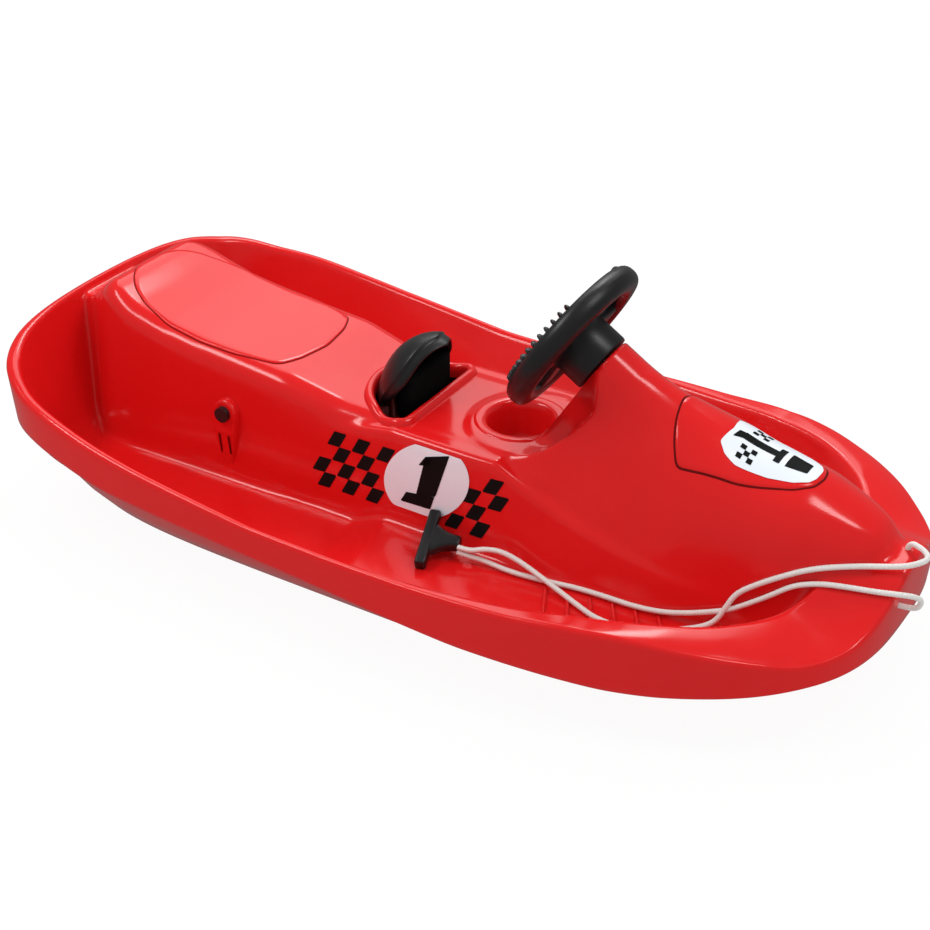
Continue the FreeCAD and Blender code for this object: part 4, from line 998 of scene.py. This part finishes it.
# %% Finger nubs
NUB_COUNT, NUB_FROM, NUB_STEP = 12, 40, 7.2
spots, turns = [], []
for side in (1, -1):
    for i in range(NUB_COUNT):
        a = math.radians(side * (NUB_FROM + NUB_STEP * i))
        on_ring = (RING_RADIUS * math.cos(a), RING_RADIUS * math.sin(a), RING_SECTION - 0.001)
        place = wheel_frame @ Vector(on_ring)
        turn = wheel_frame.to_3x3() @ Matrix.Rotation(a - math.pi / 2, 3, "Z")
        spots.append(tuple(place))
        turns.append(tuple(turn.to_euler("XYZ")))
nubs = copies("grip_nubs", rounded_bar("grip_nub", 0.0120, 0.0052, 0.0060, 2.2, 12, 10), spots, turns, black)
adopt("grip_nubs", nubs, "steering")

# %% [markdown]
# ## The brake pull
# A black hood like half an egg stands in the pocket. Its front is open so that fingers reach behind the top
# edge, and a ridge runs round the mouth. A sculpted ball would need many strokes, but lines over an egg at
# measured angles give the outside, the band inside the ridge, a rounded lip and the inside in one run.

# %% Hood of the brake pull
HOOD_AT, HOOD_FOOT_Z, HOOD_COUNT = np.array([-0.036, 0.0, 0.160]), 0.1605, 72
OUTER, INNER = np.array([0.0715, 0.0635, 0.082]), np.array([0.060, 0.055, 0.074])
REAR, INNER_REAR = 1.52, 1.42
over = np.linspace(0.0, np.pi, HOOD_COUNT)
foot = np.abs(np.cos(over))
ridge = 0.04 + 0.31 * foot + 0.45 * foot ** 8
mouth = -0.13 + 0.43 * foot + 0.50 * foot ** 14


def egg(radii, back):
    """One line over the hood from its near foot to its far foot, at an angle back from the middle."""
    ring = np.cos(back)
    return HOOD_AT + radii * np.stack([-np.sin(back), -ring * np.cos(over), ring * np.sin(over)], axis=-1)


def hood_piece(name, rows, finish, stands_for=()):
    """A skin over lines of the egg, cut off level at the foot."""
    verts = np.concatenate(rows)
    verts[:, 2] = np.maximum(verts[:, 2], HOOD_FOOT_Z)
    piece(name, verts, lattice(len(rows), HOOD_COUNT), finish, "brake", stands_for)


RIDGE_STEP, RIDGE_SHARE, BAND_TAPER = 0.022, 0.12, 0.045
LIP_BULGE = np.array([0.0030, 0, -0.0006])
rows = [egg(OUTER, REAR + (ridge - REAR) * share) for share in np.linspace(0, 1, 30)]
for share in (0.06, 0.12, 0.4, 0.7, 1.0):
    step_in = 1.0 - RIDGE_STEP * min(share / RIDGE_SHARE, 1.0) - BAND_TAPER * share
    rows.append(egg(OUTER * step_in, ridge + (mouth - ridge) * share))
rim = rows[-1]
inner_rows = [egg(INNER, mouth + 0.03 + (INNER_REAR - mouth) * share) for share in np.linspace(0, 1, 24)]
for share in (0.2, 0.5, 0.8):
    turn = math.pi * share
    mix = (1 - math.cos(turn)) / 2
    rows.append(rim * (1 - mix) + inner_rows[0] * mix + LIP_BULGE * math.sin(turn))
rows.append(inner_rows[0])
hood_piece("brake_hood", rows, black, ["brake_handle"])
# The inside of the hood is painted shade: the flat black without gloss.
hood_piece("hood_inside", inner_rows, painted_shade)

# %% Body and lines inside the hood


def soft_box_ring(width, depth, z, power, count=32, x=0.0):
    """One ring of a box with soft corners, at a height."""
    a = np.linspace(0, 2 * np.pi, count, endpoint=False)
    return np.column_stack([x + squared(np.cos(a), power) * width, squared(np.sin(a), power) * depth,
                            np.full(count, z)])


POST, GRIP, CAP = (-0.0665, 0.0175, 0.0165), (-0.0560, 0.0110, 0.040), (-0.0560, 0.0005, 0.0005)
BODY = [(0.114, POST), (0.148, POST), (0.150, GRIP), (0.175, GRIP), (0.204, GRIP), (0.2045, CAP)]
body = [soft_box_ring(half_x, half_y, z, 0.3, 40, body_x) for z, (body_x, half_x, half_y) in BODY]
# The stem under the hood takes the same painted shade, so that it stays dark behind the mouth.
piece("hood_stem", np.concatenate(body), lattice(len(body), 40, close=True), painted_shade, "brake")
mouth_line = inner_rows[1][16:-16:2]
hood_ribs = copies("hood_ribs", rounded_bar("hood_rib", 0.008, 0.0016, 0.0016, 3.0, 10, 8), mouth_line,
                   [(0, 0, math.radians(90))] * len(mouth_line), black)
adopt("hood_ribs", hood_ribs, "brake")

# %% [markdown]
# ## The tow rope
# A braided white cord in two strands runs from a T-shaped pull, over the foot well and the bow deck, into two
# holes at the tip. The route's points steer a NURBS spline. The braid is real relief on a tube that follows
# points read back from that spline.

# %% Routes of the two strands
PULL_END = Vector((0.069, -0.131, 0.0747))
BAR_LOW, BAR_HIGH = Vector((0.042, -0.161, 0.0675)), Vector((0.0255, -0.108, 0.088))
pull_foot = (BAR_LOW + BAR_HIGH) / 2
pull_line = (PULL_END - pull_foot).normalized()
pull_up = Vector((-pull_line.z, 0, pull_line.x))
ROUTE_A = [(0.097, -0.125, 0.082), (0.115, -0.120, 0.083), (0.138, -0.118, 0.077), (0.173, -0.124, 0.0685),
           (0.2225, -0.1403, 0.0636), (0.246, -0.149, 0.0636), (0.276, -0.149, 0.0636),
           (0.304, -0.138, 0.0636), (0.330, -0.119, 0.0645), (0.347, -0.107, 0.0675),
           (0.3565, -0.101, 0.0750), (0.3618, -0.0955, 0.0875), (0.3682, -0.0880, 0.1030),
           (0.3818, -0.0820, 0.1140), (0.4076, -0.0731, 0.1300), (0.436, -0.0612, 0.1433),
           (0.4724, -0.0449, 0.1498), (0.497, -0.037, 0.1535), (0.516, -0.033, 0.158),
           (0.529, -0.030, 0.164), (0.537, -0.022, 0.168), (0.528, -0.011, 0.169), (0.508, 0.0, 0.1663),
           (0.508, 0.0, 0.1523)]
ROUTE_B = [(0.097, -0.124, 0.067), (0.1292, -0.1240, 0.0640), (0.1678, -0.1195, 0.0640),
           (0.2025, -0.1131, 0.0645), (0.236, -0.1117, 0.0650), (0.2698, -0.1121, 0.0655),
           (0.3008, -0.1090, 0.0680), (0.3261, -0.1045, 0.0740), (0.3506, -0.0985, 0.0815),
           (0.3664, -0.0928, 0.0865), (0.3849, -0.0860, 0.0978), (0.4031, -0.0790, 0.1100),
           (0.4207, -0.0714, 0.1230), (0.4391, -0.0650, 0.1285), (0.4594, -0.0621, 0.1328),
           (0.4999, -0.0568, 0.1364), (0.520, -0.0535, 0.1390), (0.536, -0.048, 0.139),
           (0.541, -0.038, 0.130), (0.536, -0.036, 0.115), (0.515, -0.036, 0.115)]
ROPE_RADIUS, ROPE_STEP, ROPE_COUNT = 0.003, 0.0009, 16
WEAVE_TURN, WEAVE_DEPTH = 900, 0.07
print("route points", len(ROUTE_A), len(ROUTE_B))

# %% Braid a tube along a line


def spline_points(name, route):
    """Points along the smooth line of a route."""
    curve = bpy.data.curves.new(name, "CURVE")
    curve.dimensions = "3D"
    curve.resolution_u = 24
    line = curve.splines.new("NURBS")
    line.points.add(len(route) - 1)
    for point, at in zip(line.points, route):
        point.co = (*at, 1.0)
    line.order_u = 3
    line.use_endpoint_u = True
    holder = bpy.data.objects.new(name, curve)
    bpy.context.scene.collection.objects.link(holder)
    bpy.context.view_layer.update()
    mesh = bpy.data.meshes.new_from_object(holder.evaluated_get(bpy.context.evaluated_depsgraph_get()))
    points = np.array([v.co[:] for v in mesh.vertices])
    bpy.data.objects.remove(holder)
    return points


def braid(name, line, node_name):
    """A tube with woven relief along a line, and its length."""
    length = np.concatenate([[0], np.cumsum(np.linalg.norm(np.diff(line, axis=0), axis=1))])
    count = int(length[-1] / ROPE_STEP)
    where = np.linspace(0, length[-1], count)
    path = np.column_stack([np.interp(where, length, line[:, k]) for k in range(3)])
    forward = np.gradient(path, axis=0)
    forward /= np.linalg.norm(forward, axis=1)[:, None]
    side = np.cross(forward[0], (0, 0, 1.0))
    a = np.linspace(0, 2 * np.pi, ROPE_COUNT, endpoint=False)
    rows = []
    for k in range(count):
        side = side - forward[k] * np.dot(side, forward[k])
        side /= np.linalg.norm(side)
        up = np.cross(side, forward[k])
        weave = np.sin(4 * a + where[k] * WEAVE_TURN) * np.sin(4 * a - where[k] * WEAVE_TURN)
        radius = ROPE_RADIUS * (1 - WEAVE_DEPTH + WEAVE_DEPTH * weave)
        rows.append(path[k] + side * (radius * np.cos(a))[:, None] + up * (radius * np.sin(a))[:, None])
    verts = np.concatenate(rows + [path[:1], path[-1:]])
    faces = lattice(count, ROPE_COUNT, close=True)
    last = (count - 1) * ROPE_COUNT
    for j in range(ROPE_COUNT):
        k = (j + 1) % ROPE_COUNT
        faces.append((len(verts) - 2, k, j))
        faces.append((len(verts) - 1, last + j, last + k))
    made = piece(name, verts, faces, twine, "hull", [node_name])
    return made, path, float(length[-1])


STRAND_LIFT, STRAND_LEAD = 0.0033, 0.014
for name, side, route in (("rope_a", 1, ROUTE_A), ("rope_b", -1, ROUTE_B)):
    first = PULL_END + pull_up * (side * STRAND_LIFT)
    whole = [tuple(first), tuple(first + pull_line * STRAND_LEAD)] + route
    line = spline_points(name + "_line", whole)
    made, path, length = braid(name, line[::-1], "rope_strand_" + name[-1])
    print(name, "length", round(length, 3))

# %% [markdown]
# The T-shaped pull is a bevelled bar with a stem that swells into it. Each strand leaves the object at its
# hole in the bow, and the pull hangs on the far end.

# %% The T pull
bar_axis = (BAR_HIGH - BAR_LOW).normalized()
third = bar_axis.cross(pull_line).normalized()
outward = third.cross(bar_axis).normalized()
pull_frame = Matrix((outward, third, bar_axis)).transposed().to_4x4()
pull_frame.translation = pull_foot
bar_half = (BAR_HIGH - BAR_LOW).length / 2 + 0.0065
BAR_WIDE, BAR_DEEP, TIP = 0.0062, 0.0068, 0.0003
BAR_ENDS = [(0.5, 1.0), (0.92, 1.0), (0.965, 0.95), (1.0, 0.78)]
BAR_STEPS = [(-share, size) for share, size in BAR_ENDS[::-1]] + [(0.0, 1.0)] + BAR_ENDS
rows = [soft_box_ring(TIP, TIP, -bar_half, 0.5)]
for share, size in BAR_STEPS:
    rows.append(soft_box_ring(BAR_WIDE * size, BAR_DEEP * size, bar_half * share, 0.38))
rows.append(soft_box_ring(TIP, TIP, bar_half, 0.5))
bar_points = set_in(np.concatenate(rows), pull_frame)
bar = piece("pull_bar", bar_points, lattice(len(rows), 32, close=True), black, "hull",
            ["tow_handle"], sharp=50)

# %% Stem of the pull
stem_frame = Matrix((bar_axis, third, outward)).transposed().to_4x4()
stem_frame.translation = pull_foot
stem_reach = (PULL_END - pull_foot).length
STEM_STEPS = [(0.05, 0.0215, 0.0062), (0.22, 0.0185, 0.0064), (0.42, 0.0135, 0.0068), (0.62, 0.0098, 0.0072),
              (0.80, 0.0082, 0.0074), (0.95, 0.0076, 0.0074), (1.0, 0.0068, 0.0066), (1.0, TIP, TIP)]
rows = [soft_box_ring(wide, deep, stem_reach * share, 0.62) for share, wide, deep in STEM_STEPS]
stem_points = set_in(np.concatenate(rows), stem_frame)
stem = piece("pull_stem", stem_points, lattice(len(rows), 32, close=True, flip=True), black, "hull",
             sharp=60)

# %% [markdown]
# ## The parts inside
# The column, bearings, ski and claw are hidden or seen only from below. They stay as the CAD made them,
# because turned and sawn parts gain nothing from a second mesh, and only take a finish.

# %% Finish the CAD nodes
METAL = ("wheel_bolt", "steering_column", "crank_pin", "ball_stud", "kingpin", "tiller_pin", "brake_axle",
         "lever_pin", "return_spring", "brake_claw", "bridge_screws", "bearing_screws", "handle_screws",
         "ski_rivets", "claw_rivets", "crank_arm")
PALE = ("column_bush", "kingpin_bush", "thrust_washer", "column_bearing")
FINISHES = {"rope_knots": twine}
FINISHES.update({name: steel for name in METAL})
FINISHES.update({name: nylon for name in PALE})
for name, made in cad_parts.items():
    made.data.materials.clear()
    made.data.materials.append(FINISHES.get(name, black).material)
print("inside parts", len(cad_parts))

# %% [markdown]
# ## Light and ground
# A plain white studio. The world is white to the eye, softer as a light and dim in reflections, so that the
# gloss shows the lamps: one broad lamp gives the tops their sheen and three strips draw the long
# highlights.

# %% World
scene = bpy.context.scene
scene.view_settings.view_transform = "Standard"
world = bpy.data.worlds.new("white_studio")
world.use_nodes = True
scene.world = world
DIFFUSE_LIGHT, GLOSSY_LESS, CAMERA_MORE = 0.70, -0.50, 0.30


def by_ray(tree, ray, gain, base):
    """A number that has a gain added for one kind of ray."""
    kind = tree.nodes.new("ShaderNodeLightPath")
    made = tree.nodes.new("ShaderNodeMath")
    made.operation = "MULTIPLY_ADD"
    made.inputs[1].default_value = gain
    tree.links.new(kind.outputs[ray], made.inputs[0])
    if isinstance(base, float):
        made.inputs[2].default_value = base
    else:
        tree.links.new(base, made.inputs[2])
    return made.outputs[0]


tree = world.node_tree
mirrored = by_ray(tree, "Is Glossy Ray", GLOSSY_LESS, DIFFUSE_LIGHT)
background = tree.nodes["Background"]
background.inputs["Color"].default_value = rgba(1, 1, 1)
tree.links.new(by_ray(tree, "Is Camera Ray", CAMERA_MORE, mirrored), background.inputs["Strength"])
print("world", world.name)

# %% Lamps
LAMP_AIM = Vector((0, 0, 0.1))


def softbox(name, azimuth, elevation, reach, size, radiance):
    """A lamp on a dome round the sled, with the brightness that its face shows in a reflection."""
    data = bpy.data.lights.new(name, "AREA")
    data.shape = "RECTANGLE"
    data.size, data.size_y = size
    data.energy = radiance * math.pi * size[0] * size[1]
    a, e = math.radians(azimuth), math.radians(elevation)
    made = bpy.data.objects.new(name, data)
    outward = Vector((math.cos(e) * math.cos(a), math.cos(e) * math.sin(a), math.sin(e)))
    made.location = LAMP_AIM + reach * outward
    made.rotation_euler = (LAMP_AIM - made.location).to_track_quat("-Z", "Y").to_euler()
    scene.collection.objects.link(made)


softbox("broad_back", 118, 44, 2.8, (2.6, 1.7), 1.5)
softbox("strip_back", 109, 55, 2.6, (0.7, 0.6), 8.0)
softbox("strip_tail", -145, 51, 2.6, (1.3, 0.4), 9.0)
softbox("strip_bow", 4, 60, 2.6, (0.5, 0.9), 8.0)
print("lamps", len(bpy.data.lights))

# %% [markdown]
# The ground is a pale disc that keeps the shadow. It glows most for the camera, which lets it fade into the
# white, and a little for diffuse light, which fills the lower tier as a white studio floor does. Reflections
# leave it out, so that the gloss keeps the lamps.

# %% Ground
GROUND_RADIUS, GROUND_DROP, GROUND_COUNT, GROUND_TONE = 3.0, 0.001, 64, 0.62
GLOW, CAMERA_GLOW, LIGHT_GLOW = 1.05, 0.62, 0.28
ground_mesh = bpy.data.meshes.new("ground")
corners = [(GROUND_RADIUS * math.cos(t), GROUND_RADIUS * math.sin(t), -GROUND_DROP)
           for t in np.linspace(0, 2 * np.pi, GROUND_COUNT, endpoint=False)]
ground_mesh.from_pydata(corners, [], [tuple(range(GROUND_COUNT))])
ground = bpy.data.objects.new("ground", ground_mesh)
scene.collection.objects.link(ground)
ground.visible_glossy = False
pale = bpy.data.materials.new("pale_ground")
pale.use_nodes = True
tree = pale.node_tree
tree.nodes.remove(tree.nodes["Principled BSDF"])
matte = tree.nodes.new("ShaderNodeBsdfDiffuse")
matte.inputs["Color"].default_value = rgba(GROUND_TONE, GROUND_TONE, GROUND_TONE)
glow = tree.nodes.new("ShaderNodeEmission")
glow.inputs["Color"].default_value = rgba(1, 1, 1)
glow.inputs["Strength"].default_value = GLOW
blend = tree.nodes.new("ShaderNodeMixShader")
tree.links.new(by_ray(tree, "Is Camera Ray", CAMERA_GLOW, LIGHT_GLOW), blend.inputs[0])
tree.links.new(matte.outputs[0], blend.inputs[1])
tree.links.new(glow.outputs[0], blend.inputs[2])
tree.links.new(blend.outputs[0], tree.nodes["Material Output"].inputs["Surface"])
ground_mesh.materials.append(pale)
print("ground", ground.name)
